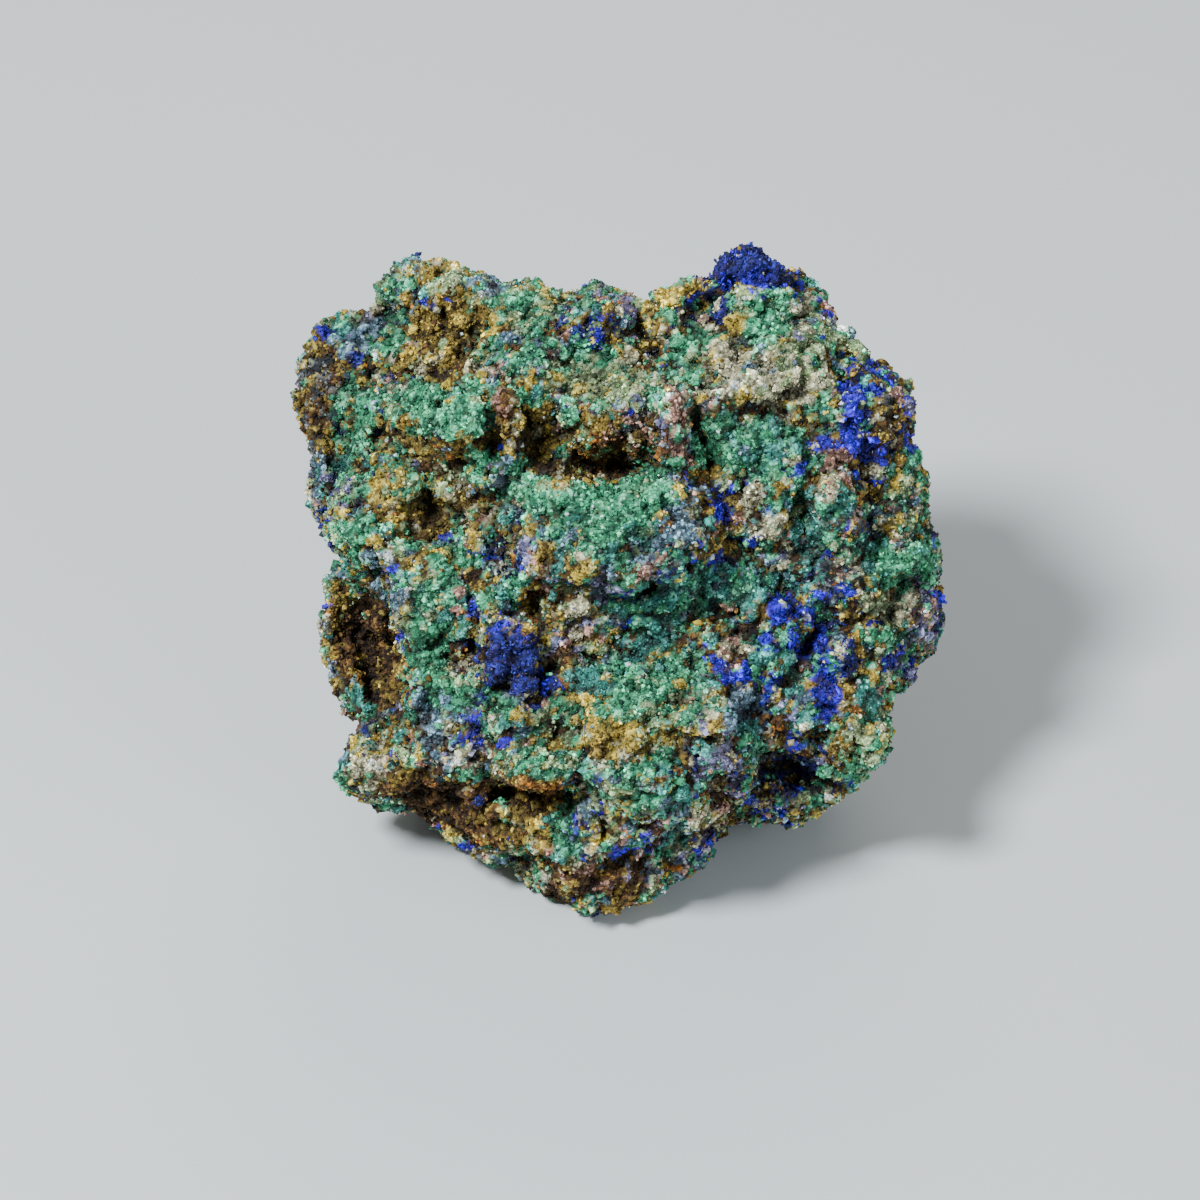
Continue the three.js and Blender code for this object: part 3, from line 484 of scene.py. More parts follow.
def mineralScores(places, normals):
    # how strongly each mineral is at home at each place, for places in mm
    onShow = showing(places, normals, spread["wrap"])
    across, up = onFace(places)[:, :2].T
    across = across + wander(places, seeds["wanderAcross"])
    up = up + wander(places, seeds["wanderUp"])
    scores = np.zeros((len(places), len(kinds)))
    fineShare, fineWidth = spread["fineWaves"]
    broadWeight, broadWidth = spread["broadWaves"]
    for column, kind in enumerate(kinds):
        common, width = everywhere[kind]
        waves = softNoise(places, width, seeds["waves"] + column)
        waves += fineShare * softNoise(places, fineWidth, seeds["fineWaves"] + column)
        broad = softNoise(places, broadWidth * width, seeds["broadWaves"] + column)
        scores[:, column] = faded(spread["common"], onShow) * common
        scores[:, column] += (
            faded(spread["waves"], onShow) * waves + broadWeight * (1 - onShow) * broad
        )
    for kind, spots in patches.items():
        total = np.zeros(len(places))
        for spot in spots:
            *oval, strength, turn = filled(spot, 6)
            total += strength * ovalShare(across, up, *oval, turn, spread["patchEdge"])
        total *= onShow
        scores[:, kinds.index(kind)] += total
        for friend, share in company[kind].items():
            scores[:, kinds.index(friend)] += share * total
    return scores


# The rock, in mm. Each layer of relief has its noise, its width and height, its seed, the middle
# of its noise, and how much quieter it is on the show face.
rockLook = {
    "weld": 0.001,
    "voxels": {"coarse": 0.6, "fine": 0.54},
    "wrap": 0.4, # how far the relief of the show face goes round its edges
    "wobble": (2.6, 0.7), # width and reach of what bends the carving
    "carvingEdge": (0.6, 2), # how fast the carving fades, and how sharply
    "lumpFoot": 1.2, # round the middle of a lump, where it finds the surface
    "lumpRounds": 3, # subdivisions of a lump's ball
    "restingEdge": (0.05, 1.5), # where relief starts over the resting face, and how slowly
    "layers": {
        "lumps": {"noise": cragNoise, "size": (6.5, 2), "seed": 3, "middle": 0.66, "quiet": 0.45},
        "pits": {"noise": pitNoise, "size": (4.6, 1.7), "seed": 9, "middle": -0.1, "quiet": 0.3},
        "cracks": {"noise": crackNoise, "size": (5.2, 1.3), "seed": 15, "middle": -0.1, "quiet": 0},
        "stones": {"noise": cragNoise, "size": (2.7, 1.5), "seed": 13, "middle": 0.66, "quiet": 0},
        "knobs": {"noise": cragNoise, "size": (1.3, 1.15), "seed": 5, "middle": 0.66, "quiet": 0},
        "grit": {"noise": softNoise, "size": (0.7, 0.3), "seed": 7, "middle": 0, "quiet": 0},
    },
    "slot": "gossan", "material": "gossan", "roughness": 0.85, "grain": 3000, "contrast": 1.1,
    "stain": 0.3, "bump": 1, "specular": 0.35,
}

# Relief of the show face, in mm: middle, half sizes, height (below 0 is a hollow), turn in degrees
# and how far it sags, the last two left out where they are 0.
carving = [
    # the middle boss, its overhanging edge and the hollows round it
    (2.5, 7.8, 7.5, 3.8, 1.6, 12, 0.2), (-6.5, 8.3, 3.6, 2.8, 1.6, 0, 1),
    (6.4, 6.6, 3, 2.6, 1.2, 0, 0.2), (6.2, 6.2, 1.5, 1.1, -2, 20), (0, 12.6, 4.2, 1.6, -2.6, 5),
    (4.2, 1.8, 5.4, 0.8, 1.4, 36, 0.3), (9, -3, 7.2, 4.2, 5.6, 30), (11.7, -4.6, 3, 1.5, -1, -20),
    (4.5, -4.5, 1.6, 1.1, -1.8, 30), (7, -6.3, 1.4, 1, -1.8), (-10.3, -3, 1.5, 1.7, -3.6),
    (-8.6, 2.2, 1.2, 0.9, -1.6), (-5, 1.6, 2.2, 1.1, 1.4, 0, 0.6),
    # the hoof shaped ridge and the knobs round it
    (-13.5, 19.6, 0.9, 4.2, 2.2, 4), (-15.6, 17.2, 0.9, 3, -2.2, 5),
    (-20, 18.2, 3, 1.9, 1.6, 0, 0.5), (-17.4, 14.6, 2.4, 0.9, -1.8), (-11.2, 17, 1.1, 3.6, -2),
    (-8, 18.8, 2.4, 1.5, 1.4, 0, 0.4),
    # upper left
    (-22.5, 29.4, 4.2, 2, -2.4), (-26.4, 30.6, 1.5, 1, -1.8), (-19.6, 27.6, 1.6, 1.1, -2),
    (-27.5, 15, 3.4, 1, -1.8, -20), (-31, 23.4, 0.9, 4.5, 1.5, 20),
    (-24.6, 18.8, 0.7, 2.4, -1.8, 20), (-20.4, 20.6, 0.7, 1.6, -1.6, -30),
    (-22, 6.6, 4.4, 2.4, -2.2), (-25.5, 9.6, 3.4, 1, 1.3, 10, 0.4),
    (-18.6, 3.6, 2.2, 1, 1.3, -20, 0.3),
    # the cave in the left side, and the lower left
    (-28.8, -9, 2.6, 6.4, -5, 8), (-27.4, -7, 0.9, 1.9, -2), (-29.2, -12.8, 1.1, 1.6, -1.8),
    (-25, -8, 1, 7, 1.8, 4), (-11.3, -24.6, 4.2, 1.7, -3.6, -5), (-10.4, -21.2, 4, 1.3, 2, -4, 1.4),
    (-17.5, -22.6, 5.5, 1.2, -2, 28), (-12, -15.6, 2.4, 1.2, 1.5, 20, 0.5),
    (-22.5, -17.5, 1.2, 3.6, -1.8, 10), (-27.5, -17, 1.4, 3, -1.4),
    # the azurite rosette and its shadows
    (-12.9, -8.2, 0.7, 3, -1.6, 10), (-9.2, -10.4, 1, 2, -2, 20), (-16.8, -9.2, 1.1, 2.6, -2),
    (-12.4, -12.4, 2.2, 0.9, -1.6),
    # upper plateau, its steep right wall, and the top
    (5.8, 17, 1.4, 4, 2.6, 6, 0.8), (8.8, 15.4, 1.1, 3.8, -3.4, 4),
    (0.5, 21.5, 6, 1.6, 1.2, -4, 0.8), (2, 30, 0.8, 3.4, -2.8, -6), (-2.6, 29, 3, 2.2, 0.6, 0, 0.8),
    (-3.6, 33, 4, 2, -1), (15, 38, 5, 2.8, 0, 0, 2), (9.5, 28.6, 2.4, 0.9, -1.6, 20),
    (14.5, 30.5, 2.8, 1.4, 1.2, 10, 0.4), (18.5, 20.5, 4, 0.9, -1.6, 18),
    (15.5, 22.5, 3, 1.1, 1.2, 15, 0.4),
    # the right side
    (22.6, 10, 1.3, 2.6, 2, 6), (20.6, 7, 0.9, 3.2, -2), (27.6, 8.3, 0.9, 3.4, -2.8, 10),
    (25, 9.5, 1.4, 3.2, 1.4, 8), (16.5, 10.2, 2.6, 1.2, 1.4, 30, 0.4), (17, -3, 3.5, 0.9, -1.8, 40),
    (21, -9, 0.9, 4.4, -1.9, -12), (25.5, -6.5, 1.3, 3.2, 1.5, 10), (30.5, -1.3, 3.4, 0.8, -1.8, 15),
    (29.5, -7, 2.4, 1, 1.2, -30, 0.3),
    # the lower boss and the cavity right of it
    (11.2, -17.5, 2, 5, 1.8, 12), (15.6, -19.5, 0.9, 4.5, -2.8, 8),
    (6.5, -12.6, 4, 1.1, 1.6, 32, 0.4), (1, -28.6, 3.8, 0.9, -1.8, 10), (-1, -17.5, 1.3, 1.6, -1.8),
    (5, -20, 1.5, 1.4, -1.6), (18.8, -22.2, 3.2, 2.1, -3.8), (27.4, -19, 3, 2.3, 2.2, 0, 0.4),
]

# Lumps that stand on the show face, in mm: middle, half sizes, half thickness, how far they reach
# out of the surface there, and turn in degrees where it isn't 0.
standing = [
    (15.6, 31.4, 4.6, 3.2, 3, 0), (14.9, 34.1, 4, 4, 4, 2.0), (6, 32.6, 3.2, 1.3, 2, 0.6, 20),
    (-3.4, 29, 3.3, 2.8, 2.6, 0, 10), (-18, 17.8, 2.7, 1.9, 2, 1), (-15.4, 13.9, 1.8, 1.4, 1.6, 0.9),
    (-16.2, 11.3, 1.6, 1.2, 1.4, 0.8), (-22.8, 20.6, 2.4, 1.9, 2, 0.6),
    (-13.2, 19.4, 0.9, 3.8, 1.8, 1.1, 5), (5.2, 16.6, 1.6, 4.2, 2.2, 0.8, 6),
    (4.2, 2, 5.6, 0.7, 1.2, 0.5, 36), (3.2, 8.4, 3.4, 2.2, 2.4, 0.4, 15),
    (-6.5, 8.4, 2.8, 1.9, 2, 0.6), (-10.7, 9.2, 1.6, 1.5, 1.6, 0.7), (24.7, 18.2, 0.9, 0.8, 1, 0.7),
    (23.4, 9.4, 1.5, 1.9, 1.8, 0.8), (17, 6, 2.4, 1.8, 1.8, 0.5, 20), (33, 1.6, 2.4, 1.8, 2, 0.5),
    (-15, -5, 1, 1.1, 1.1, 1.2), (-13, -5.6, 1.1, 1.2, 1.1, 1.4), (-14.6, -7.4, 1.1, 1.2, 1.1, 1.3),
    (-11.2, -6.6, 1.1, 1.2, 1.1, 1.3), (-12.4, -8.4, 1, 1.1, 1.1, 1),
    (-10.6, -9.2, 1, 1.2, 1.1, 1.1), (-14.6, -9.8, 1.1, 1.2, 1.1, 1), (-13.6, -12, 1.3, 0.9, 1.1, 1),
    (-11, -12.4, 1.4, 0.9, 1.1, 0.9), (-10.4, -20.9, 3.6, 1.3, 1.8, 1.2, -4),
    (-28.6, -4.6, 1.1, 1.5, 1.3, 0.9), (-27.2, -12.2, 1.2, 1.1, 1.2, 0.9),
    (-29.8, -9.4, 0.9, 1.3, 1.1, 0.8), (-14.2, -27.4, 1.6, 1.2, 1.3, 0.9),
    (-9, -28.4, 1.7, 1.3, 1.3, 0.8), (-17.8, -24.8, 1.6, 1.1, 1.3, 0.9, -20),
    (27.4, -18.9, 3.2, 2.5, 2.6, 0.9, 10), (10.4, -15.6, 2.2, 3, 2.4, 0.6, 10),
    (-25, -8, 0.7, 6, 1.4, 0.8, 4), (-30, -22.6, 3, 2, 2.2, 0.7), (19.6, 13.8, 1.2, 1.3, 1.2, 0.7),
    (30.8, 5.6, 1.9, 1.6, 1.6, 0.5),
]


def makeRock(node):
    onlySelect(node)
    bpy.ops.object.duplicate()
    rock = bpy.context.active_object
    rock.name = "gossan_rock"
    rock.parent = None
    for key in list(rock.keys()):
        if key.startswith("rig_"):
            del rock[key]
    onlySelect(rock)
    bpy.ops.object.mode_set(mode="EDIT")
    bpy.ops.mesh.select_all(action="SELECT")
    bpy.ops.mesh.remove_doubles(threshold=rockLook["weld"] * metresPerMm)
    bpy.ops.object.mode_set(mode="OBJECT")
    return rock


def evenOut(rock, voxel):
    onlySelect(rock)
    remesh = rock.modifiers.new("even", "REMESH")
    remesh.mode = "VOXEL"
    remesh.voxel_size = voxel * metresPerMm
    bpy.ops.object.modifier_apply(modifier="even")


def placePoints(rock, places):
    rock.data.vertices.foreach_set("co", (places * metresPerMm).ravel())
    rock.data.update()


def carve(rock):
    # the relief of the show face, with steep sides
    places = placesInMm(rock)
    spots = onFace(places)
    facing = showing(places, vertexNormals(rock), rockLook["wrap"])
    width, reach = rockLook["wobble"]
    across = spots[:, 0] + reach * softNoise(places, width, seeds["carvingAcross"])
    up = spots[:, 1] + reach * softNoise(places, width, seeds["carvingUp"])
    out = np.zeros(len(places))
    sag = np.zeros(len(places))
    for spot in carving:
        *oval, height, turn, droop = filled(spot, 7)
        share = ovalShare(across, up, *oval, turn, rockLook["carvingEdge"])
        out += height * share
        sag += droop * share
    spots[:, 2] += out * facing
    spots[:, 1] -= sag * facing
    placePoints(rock, offFace(spots))


def addLumps(rock):
    spots = onFace(placesInMm(rock))
    turnToFace = Matrix(faceAxes.T.tolist()).to_4x4()
    balls = []
    for spot in standing:
        x, y, halfX, halfY, half, out, turn = filled(spot, 7)
        near = np.hypot(spots[:, 0] - x, spots[:, 1] - y) < rockLook["lumpFoot"]
        middle = offFace(np.array([[x, y, spots[near, 2].max() + out - half]]))[0]
        bpy.ops.mesh.primitive_ico_sphere_add(
            subdivisions=rockLook["lumpRounds"], radius=metresPerMm
        )
        ball = bpy.context.active_object
        spin = turnToFace @ Matrix.Rotation(math.radians(turn), 4, "Z")
        ball.matrix_world = Matrix.LocRotScale(
            Vector(middle) * metresPerMm, spin.to_quaternion(), (halfX, halfY, half)
        )
        balls.append(ball)
    onlySelect(rock)
    for ball in balls:
        ball.select_set(True)
    bpy.ops.object.join()


def roughen(rock, layer):
    # moves the surface in and out by the layer's noise, but leaves the resting face flat
    width, height = layer["size"]
    start, slope = rockLook["restingEdge"]
    places = placesInMm(rock)
    normals = vertexNormals(rock)
    out = height * (layer["noise"](places, width, layer["seed"]) - layer["middle"])
    out *= np.clip((places[:, 2] - start) / slope, 0, 1)
    out *= 1 - layer["quiet"] * showing(places, normals, rockLook["wrap"])
    placePoints(rock, places + normals * out[:, None])


def blocksOf(rock, layer):
    # the layer's block that each vertex belongs to, and how far its middle is
    return brokenBlock(placesInMm(rock), layer["size"][0], layer["seed"])


layers = rockLook["layers"]
rock = makeRock(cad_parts["azurite_specimen"])
evenOut(rock, rockLook["voxels"]["coarse"])
carve(rock)
addLumps(rock)
evenOut(rock, rockLook["voxels"]["coarse"])
for layerName in ("lumps", "pits", "cracks"):
    roughen(rock, layers[layerName])
evenOut(rock, rockLook["voxels"]["fine"])
stoneCells = blocksOf(rock, layers["stones"])[0]
roughen(rock, layers["stones"])
knobCells, knobEdges = blocksOf(rock, layers["knobs"])
roughen(rock, layers["knobs"])
roughen(rock, layers["grit"])
print("rock made,", len(rock.data.vertices), "points")

# How the form tells on the colours: rust in small hollows, a random tone from knob to knob, and
# painted shade in hollows, toward the edges of knobs and between grains, with painted light on what
# stands out.
shading = {
    "smallHollow": (12, 0.5), # rounds that measure it, and its full depth in mm
    "broadHollow": (110, 1.4),
    "lifts": {"rust": 0.9, "orange": 0.5, "ochre": 0.4, "pale": -0.7}, # in small hollows
    "knobs": (0.6, 0.85), # the darkest knob, and how much brighter the brightest is
    "knobEdgeShade": (1.2, 0.76, 0.9), # painted shade toward a knob's edge: its middle, how it darkens outward, and how far out
    "smallHollowShade": (0.9, 0.42), # painted shade in small hollows: level ground, and how much darker a hollow is
    "broadShadeAndLight": 0.25, # painted shade in broad hollows, how much darker a hollow is, and as much painted light on what stands out
    "bareRockShade": 0.8, # painted shade of the bare rock, darker in the gaps beside its grains
    "shadeWidth": 0.5, # mm
}


def hollowness(piece, rounds, fullDepth):
    # 1 deep in a hollow and -1 on what stands out, more rounds measuring broader hollows
    places = vertexPlaces(piece)
    edges = np.empty(2 * len(piece.data.edges), dtype=np.int64)
    piece.data.edges.foreach_get("vertices", edges)
    a, b = edges.reshape(-1, 2).T
    count = np.bincount(np.concatenate([a, b]), minlength=len(places))[:, None]
    smooth = places.copy()
    for _ in range(rounds):
        total = np.zeros_like(smooth)
        for axis in range(3):
            total[:, axis] += np.bincount(a, smooth[b, axis], len(places))
            total[:, axis] += np.bincount(b, smooth[a, axis], len(places))
        smooth = total / count
    depth = ((smooth - places) * vertexNormals(piece)).sum(axis=1) * mmPerMetre
    return np.clip(depth / fullDepth, -1, 1)


def addColours(piece, colours):
    layer = piece.data.attributes.new("mineral", "FLOAT_COLOR", "POINT")
    full = np.ones((len(colours), 4))
    full[:, :3] = colours
    layer.data.foreach_set("color", full.ravel())


def mineralAt(places, normals, nearVertex):
    # the mineral and the brightness at each place, with rust in the hollows, painted shade in hollows
    # and toward the edges of knobs, and painted light on what stands out
    deep, form = smallHollows[nearVertex], broadHollows[nearVertex]
    scores = mineralScores(places, normals)
    for kind, lift in shading["lifts"].items():
        scores[:, kinds.index(kind)] += lift * deep
    mixedIn(scores, stoneCells[nearVertex], mixing["stones"], seeds["stoneMix"])
    mixedIn(scores, knobCells[nearVertex], mixing["knobs"], seeds["knobMix"])
    mixedIn(scores, cellsOf(places, mixing["grainWidth"]), mixing["grains"], seeds["grainMix"])
    darkest, more = shading["knobs"]
    bright = darkest + more * hashed(knobCells[nearVertex], seeds["knobLight"])
    # painted shade: darker toward the edge of each knob, in the crevices between knobs
    middle, outward, farthest = shading["knobEdgeShade"]
    bright *= middle - outward * np.clip(knobEdges[nearVertex], 0, farthest)
    # painted shade in small and broad hollows, and painted light on what stands out
    level, darker = shading["smallHollowShade"]
    bright = bright * (level - darker * deep) * (1 - shading["broadShadeAndLight"] * form)
    return scores.argmax(axis=1), bright


def colourRock(rock):
    places = placesInMm(rock)
    chosen, bright = mineralAt(places, vertexNormals(rock), np.arange(len(places)))
    shade = hashed(cellsOf(places, shading["shadeWidth"]), seeds["rockShade"])
    shade = (shade * (palette.shape[1] - 0.001)).astype(int)
    # bright carries the painted shade of hollows and knob edges and the painted light on what stands
    # out; the bare rock is darkened further as painted shade in the gaps beside its grains
    colours = palette[chosen, shade] * shading["bareRockShade"]
    addColours(rock, colours * bright[:, None])


smallHollows = hollowness(rock, *shading["smallHollow"])
broadHollows = hollowness(rock, *shading["broadHollow"])
colourRock(rock)
print("rock coloured")


# Small crystals and grains. Each shape stands on its base, about 1 tall and 1 across, and closed.
def bladeShape():
    # a flat crystal that ends in a chisel edge
    points = [(-0.42, -0.2, 0), (0.42, -0.2, 0), (0.42, 0.2, 0), (-0.42, 0.2, 0)]
    points += [(-0.3, 0, 1), (0.3, 0, 1)]
    faces = [(3, 2, 1, 0), (0, 1, 5, 4), (2, 3, 4, 5), (1, 2, 5), (3, 0, 4)]
    return np.array(points), faces


def chipShape():
    # a broken bit with six corners
    points = [(0.5, 0, 0.35), (0, 0.5, 0.3), (-0.5, 0, 0.4), (0, -0.5, 0.35)]
    points += [(0, 0, -0.1), (0, 0, 0.85)]
    faces = [(0, 1, 5), (1, 2, 5), (2, 3, 5), (3, 0, 5), (1, 0, 4), (2, 1, 4), (3, 2, 4), (0, 3, 4)]
    return np.array(points), faces


# What the grains of all the crusts share.
grainLook = {
    "count": 124000,
    "most": 24900, # in one crust
    "brightSpread": 0.36,
    "sizeSpread": 0.36,
    "stretch": (0.85, 1.15),
    "leaning": 0.6, # what the lean of a crust is multiplied by
    "clearance": 0.9, # mm over the floor where grains start
    "lowestRoot": 0.75, # mm
    "footShadedTone": (0.72, 0.4), # painted shade at a grain's foot: its tone there, and how much lighter the tip is
    "toneSpread": (0.92, 1.08),
    "glints": 0.005, # share of the grains painted near white, as painted glints
    "glintColour": (0.66, 0.74, 0.71),
}

# Pieces of the crust: the minerals in it, the shape and size of its grains in mm (across, thick
# and tall), how far they lean, how deep they sit, how ragged they are, and their finish. What a
# piece doesn't say is as for plain chips.
chips = {
    "shape": chipShape(), "size": (0.46, 0.46, 0.4), "lean": 0.8, "sunk": 0.34, "ragged": 0.16,
    "slot": "gossan", "roughness": 0.85, "grain": 4000, "contrast": 0.9, "stain": 0.2,
    "bump": 0.9, "specular": 0.3,
}
crusts = {
    "azurite_crystals": {
        **chips, "minerals": ("azurite", "navy"), "shape": bladeShape(), "size": (0.46, 0.4, 0.38),
        "sunk": 0.32, "ragged": 0.06, "slot": "azurite", "material": "azurite",
        "roughness": 0.42, "grain": 4200, "stain": 0, "bump": 0.6, "specular": 0.4,
    },
    "malachite_crust": {
        **chips, "minerals": ("mint", "green"), "size": (0.48, 0.48, 0.42), "lean": 0.6,
        "sunk": 0.32, "ragged": 0.14, "slot": "malachite", "material": "malachite",
        "roughness": 0.66, "grain": 4200, "stain": 0.1, "specular": 0.4,
    },
    "malachite_tufts": {
        **chips, "minerals": ("teal", "sage"), "size": (0.44, 0.44, 0.4), "ragged": 0.14,
        "slot": "malachite", "material": "malachite tufts", "roughness": 0.6, "grain": 4200,
        "stain": 0.1, "specular": 0.4,
    },
    "ochre_grains": {**chips, "minerals": ("ochre", "yellow"), "material": "ochre"},
    "rust_grains": {**chips, "minerals": ("orange", "rust", "grey"), "material": "rust"},
    "pale_grains": {
        **chips, "minerals": ("tan", "pink", "mauve", "slate", "pale"),
        "material": "pale crystals", "roughness": 0.66, "stain": 0.15, "specular": 0.4,
    },
}


def surfaceSample(rock, count, rng):
    # places spread evenly over the rock in mm, with the way out of it and a vertex near each
    mesh = rock.data
    mesh.calc_loop_triangles()
    corners = np.empty(3 * len(mesh.loop_triangles), dtype=np.int64)
    mesh.loop_triangles.foreach_get("vertices", corners)
    corners = corners.reshape(-1, 3)
    points = placesInMm(rock)
    normals = vertexNormals(rock)
    a, b, c = (points[corners[:, k]] for k in range(3))
    area = np.linalg.norm(np.cross(b - a, c - a), axis=1) / 2
    picked = rng.choice(len(area), count, p=area / area.sum())
    u, v = rng.random(count), rng.random(count)
    over = u + v > 1
    u[over], v[over] = 1 - u[over], 1 - v[over]
    share = np.stack([1 - u - v, u, v], axis=1)[..., None]
    places = (points[corners[picked]] * share).sum(axis=1)
    outward = (normals[corners[picked]] * share).sum(axis=1)
    outward /= np.linalg.norm(outward, axis=1)[:, None]
    return places, outward, corners[picked][:, 0]


def grainPiece(name, look, roots, stems, sizes, colours, rng):
    # one mesh of many small shapes, each with its base at a root and standing along its stem
    points, faces = look["shape"]
    count = len(roots)
    side = np.cross(stems, rng.normal(size=(count, 3)))
    side /= np.linalg.norm(side, axis=1)[:, None]
    across = np.cross(stems, side)
    local = points[None] + rng.uniform(-look["ragged"], look["ragged"], (count, len(points), 3))
    local = local * sizes[:, None]
    placed = local[..., :1] * side[:, None] + local[..., 1:2] * across[:, None]
    placed += local[..., 2:] * stems[:, None]
    placed += roots[:, None]
    allPoints = placed.reshape(-1, 3) * metresPerMm
    corners = np.concatenate([np.array(f) for f in faces])
    allCorners = (corners[None] + len(points) * np.arange(count)[:, None]).ravel()
    starts = np.concatenate([[0], np.cumsum([len(f) for f in faces])[:-1]])
    allStarts = (starts[None] + len(corners) * np.arange(count)[:, None]).ravel()
    mesh = bpy.data.meshes.new(name)
    mesh.vertices.add(len(allPoints))
    mesh.vertices.foreach_set("co", allPoints.ravel())
    mesh.loops.add(len(allCorners))
    mesh.loops.foreach_set("vertex_index", allCorners.astype(np.int32))
    mesh.polygons.add(len(allStarts))
    mesh.polygons.foreach_set("loop_start", allStarts.astype(np.int32))
    mesh.update(calc_edges=True)
    mesh.validate()
    piece = bpy.data.objects.new(name, mesh)
    bpy.context.scene.collection.objects.link(piece)
    # each grain is darker toward its foot, as painted shade among the grains
    foot, rise = grainLook["footShadedTone"]
    footShadedTone = (foot + rise * np.clip(points[:, 2], 0, 1))[None, :, None]
    footShadedTone = footShadedTone * rng.uniform(*grainLook["toneSpread"], (count, len(points), 1))
    addColours(piece, (colours[:, None] * footShadedTone).reshape(-1, 3))
    return piece


def makeCrusts(rock):
    rng = np.random.default_rng(seeds["crusts"])
    places, outward, nearVertex = surfaceSample(rock, grainLook["count"], rng)
    chosen, bright = mineralAt(places, outward, nearVertex)
    bright *= rng.lognormal(0, grainLook["brightSpread"], grainLook["count"])
    raised = places[:, 2] > grainLook["clearance"]
    made = []
    for name, look in crusts.items():
        wanted = [kinds.index(kind) for kind in look["minerals"]]
        mine = np.flatnonzero(np.isin(chosen, wanted) & raised)
        print(name, len(mine), "of at most", grainLook["most"])
        mine = mine[: grainLook["most"]]
        count = len(mine)
        stems = outward[mine] + look["lean"] * rng.normal(size=(count, 3)) * grainLook["leaning"]
        stems /= np.linalg.norm(stems, axis=1)[:, None]
        sizes = np.array(look["size"]) * rng.lognormal(0, grainLook["sizeSpread"], (count, 1))
        sizes = sizes * rng.uniform(*grainLook["stretch"], (count, 3))
        roots = places[mine] - look["sunk"] * sizes[:, 2:] * stems
        roots[:, 2] = np.maximum(roots[:, 2], grainLook["lowestRoot"])
        colours = palette[chosen[mine], rng.integers(0, palette.shape[1], count)]
        # bright carries the painted shade of hollows and knob edges and the painted light on what
        # stands out, with a random tone for each grain
        colours = colours * bright[mine, None]
        # painted glints: a few grains get a near white colour
        colours[rng.random(count) < grainLook["glints"]] = grainLook["glintColour"]
        made.append(grainPiece(name, look, roots, stems, sizes, colours, rng))
    return made


crustPieces = makeCrusts(rock)
print("crusts made")


# Shaders
def addNode(tree, kind, inputs, **settings):
    # adds a node with each input linked to a socket or set to a value, and gives its outputs
    node = tree.nodes.new("ShaderNode" + kind)
    for name, value in settings.items():
        setattr(node, name, value)
    for label, value in inputs.items():
        if isinstance(value, bpy.types.NodeSocket):
            tree.links.new(value, node.inputs[label])
        else:
            node.inputs[label].default_value = value
    return node.outputs


mottleLook = {
    "swing": {"To Min": -0.5, "To Max": 0.5}, # of a grain's colour, before the contrast
    "clouds": {"Scale": 420, "Detail": 6, "Roughness": 0.65},
    "stainFrom": {"From Min": 0.52, "From Max": 0.72},
    "glossSwing": 0.12,
    "bumpDepth": 0.0002,
}


def mineralMottle():
    # grains of slightly lighter and darker colour, and thin stains
    group = bpy.data.node_groups.new("mineral mottle", "ShaderNodeTree")
    for label, kind, value in (
        ("Colour", "Color", (0.5, 0.5, 0.5, 1)),
        ("Grain", "Float", 2500),
        ("Contrast", "Float", 0.5),
        ("Stain", "Color", (0.2, 0.1, 0.03, 1)),
        ("Stain Amount", "Float", 0.2),
    ):
        socket = group.interface.new_socket(label, in_out="INPUT", socket_type="NodeSocket" + kind)
        socket.default_value = value
    for label, kind in (("Colour", "Color"), ("Height", "Float")):
        group.interface.new_socket(label, in_out="OUTPUT", socket_type="NodeSocket" + kind)
    given = group.nodes.new("NodeGroupInput").outputs
    end = group.nodes.new("NodeGroupOutput")
    where = addNode(group, "TexCoord", {})["Object"]
    grains = addNode(group, "TexVoronoi", {"Vector": where, "Scale": given["Grain"]})
    apart = addNode(group, "SeparateColor", {"Color": grains["Color"]})
    swing = addNode(group, "MapRange", {"Value": apart["Red"], **mottleLook["swing"]})
    scaled = addNode(
        group, "Math", {0: swing["Result"], 1: given["Contrast"], 2: 1}, operation="MULTIPLY_ADD"
    )
    bright = addNode(
        group, "VectorMath", {0: given["Colour"], "Scale": scaled["Value"]}, operation="SCALE"
    )
    clouds = addNode(group, "TexNoise", {"Vector": where, **mottleLook["clouds"]})
    stained = addNode(group, "MapRange", {"Value": clouds["Fac"], **mottleLook["stainFrom"]})
    amount = addNode(
        group, "Math", {0: stained["Result"], 1: given["Stain Amount"]}, operation="MULTIPLY"
    )
    mix = addNode(
        group, "Mix", {"Factor": amount["Value"], "A": bright["Vector"], "B": given["Stain"]},
        data_type="RGBA",
    )
    group.links.new(mix["Result"], end.inputs["Colour"])
    group.links.new(grains["Distance"], end.inputs["Height"])
    return group


mottle = mineralMottle()


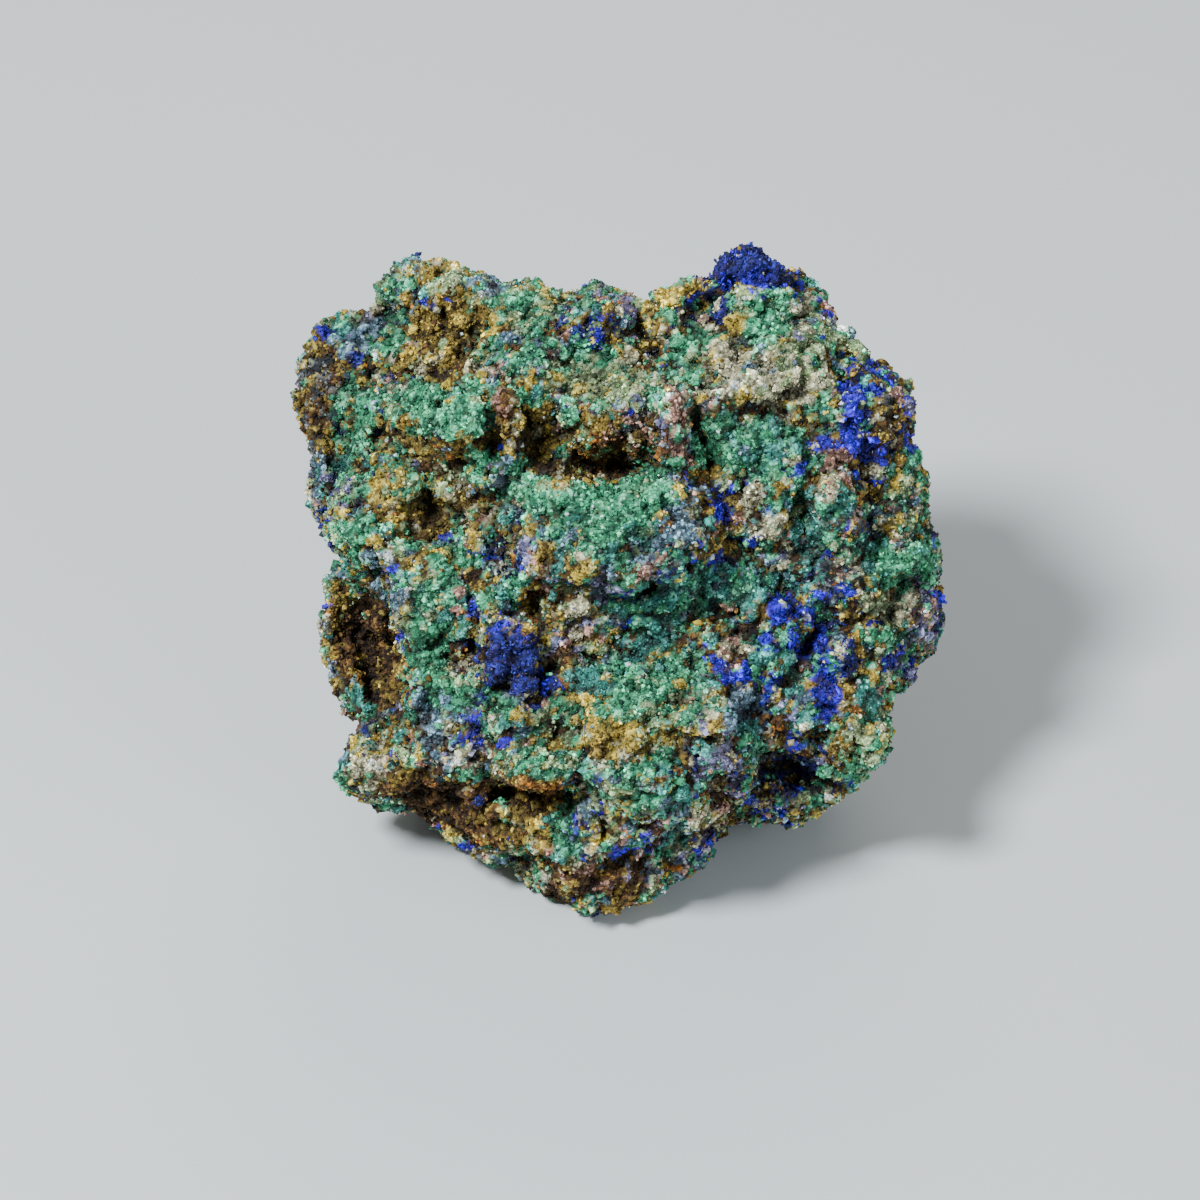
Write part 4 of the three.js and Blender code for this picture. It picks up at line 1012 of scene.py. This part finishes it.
def mineralMaterial(look):
    # the piece's own colours with a mottle, and gloss and bumps that follow its grains
    material = bpy.data.materials.new(look["material"])
    material.use_nodes = True
    tree = material.node_tree
    own = addNode(tree, "Attribute", {}, attribute_name="mineral")
    speckled = addNode(tree, "Group", {
        "Colour": own["Color"], "Grain": look["grain"], "Contrast": look["contrast"],
        "Stain Amount": look["stain"],
    }, node_tree=mottle)
    gloss = addNode(tree, "MapRange", {
        "Value": speckled["Height"],
        "To Min": look["roughness"] - mottleLook["glossSwing"],
        "To Max": min(1, look["roughness"] + mottleLook["glossSwing"]),
    })
    bump = addNode(tree, "Bump", {
        "Strength": look["bump"], "Distance": mottleLook["bumpDepth"],
        "Height": speckled["Height"],
    })
    shader = tree.nodes["Principled BSDF"]
    shader.inputs["Specular IOR Level"].default_value = look["specular"]
    tree.links.new(speckled["Colour"], shader.inputs["Base Color"])
    tree.links.new(gloss["Result"], shader.inputs["Roughness"])
    tree.links.new(bump["Normal"], shader.inputs["Normal"])
    return material


for piece in [rock] + crustPieces:
    look = crusts.get(piece.name, rockLook)
    piece.data.materials.clear()
    piece.data.materials.append(mineralMaterial(look))
    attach(piece, "root")
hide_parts("azurite_specimen")
onlySelect(rock)
bpy.ops.object.shade_smooth()
print("finishes set")

# Floor, lights and camera, in metres where no unit is given
studio = {
    "floor": {"colour": (0.62, 0.62, 0.6), "size": 6, "roughness": 0.9},
    "sky": {"colour": (0.85, 0.93, 1.0), "strength": 0.26},
    "lightAim": (0, 0, 0.03),
    "lens": 153, # mm
    "sensor": 36, # mm
    "distance": 0.6,
    "aim": (-2.6, -2.7, 0), # mm, in the frame of the show face
}
lights = {
    "key": {"place": (-0.38, -0.34, 0.72), "size": 0.2, "power": 13.4, "colour": (0.92, 1, 1.1)},
    "fill": {"place": (0.6, -0.5, 0.4), "size": 0.5, "power": 3.2, "colour": (0.85, 0.95, 1.1)},
    "back": {"place": (0.1, 0.6, 0.5), "size": 0.5, "power": 2, "colour": (1, 1, 1)},
}


def makeFloor(look):
    bpy.ops.mesh.primitive_plane_add(size=look["size"], location=(0, 0, 0))
    floor = bpy.context.active_object
    floor.name = "floor"
    material = bpy.data.materials.new("pale floor")
    material.use_nodes = True
    shader = material.node_tree.nodes["Principled BSDF"]
    shader.inputs["Base Color"].default_value = (*look["colour"], 1)
    shader.inputs["Roughness"].default_value = look["roughness"]
    floor.data.materials.append(material)


def addLight(name, look):
    light = bpy.data.lights.new(name, "AREA")
    light.shape = "DISK"
    light.size = look["size"]
    light.energy = look["power"]
    light.color = look["colour"]
    lamp = bpy.data.objects.new(name, light)
    bpy.context.scene.collection.objects.link(lamp)
    lamp.location = look["place"]
    back = Vector(look["place"]) - Vector(studio["lightAim"])
    lamp.rotation_euler = back.to_track_quat("Z", "Y").to_euler()


makeFloor(studio["floor"])
for name, look in lights.items():
    addLight(name, look)

world = bpy.data.worlds.new("studio")
bpy.context.scene.world = world
world.use_nodes = True
background = world.node_tree.nodes["Background"]
background.inputs["Color"].default_value = (*studio["sky"]["colour"], 1)
background.inputs["Strength"].default_value = studio["sky"]["strength"]

lens = bpy.data.cameras.new("camera")
lens.lens = studio["lens"]
lens.sensor_width = studio["sensor"]
camera = bpy.data.objects.new("camera", lens)
bpy.context.scene.collection.objects.link(camera)
aim = Vector(offFace(np.array([studio["aim"]], dtype=float))[0]) * metresPerMm
camera.location = aim + Vector(faceAxes[2]) * studio["distance"]
camera.rotation_euler = Vector(faceAxes[2]).to_track_quat("Z", "Y").to_euler()
bpy.context.scene.camera = camera

print("ready")
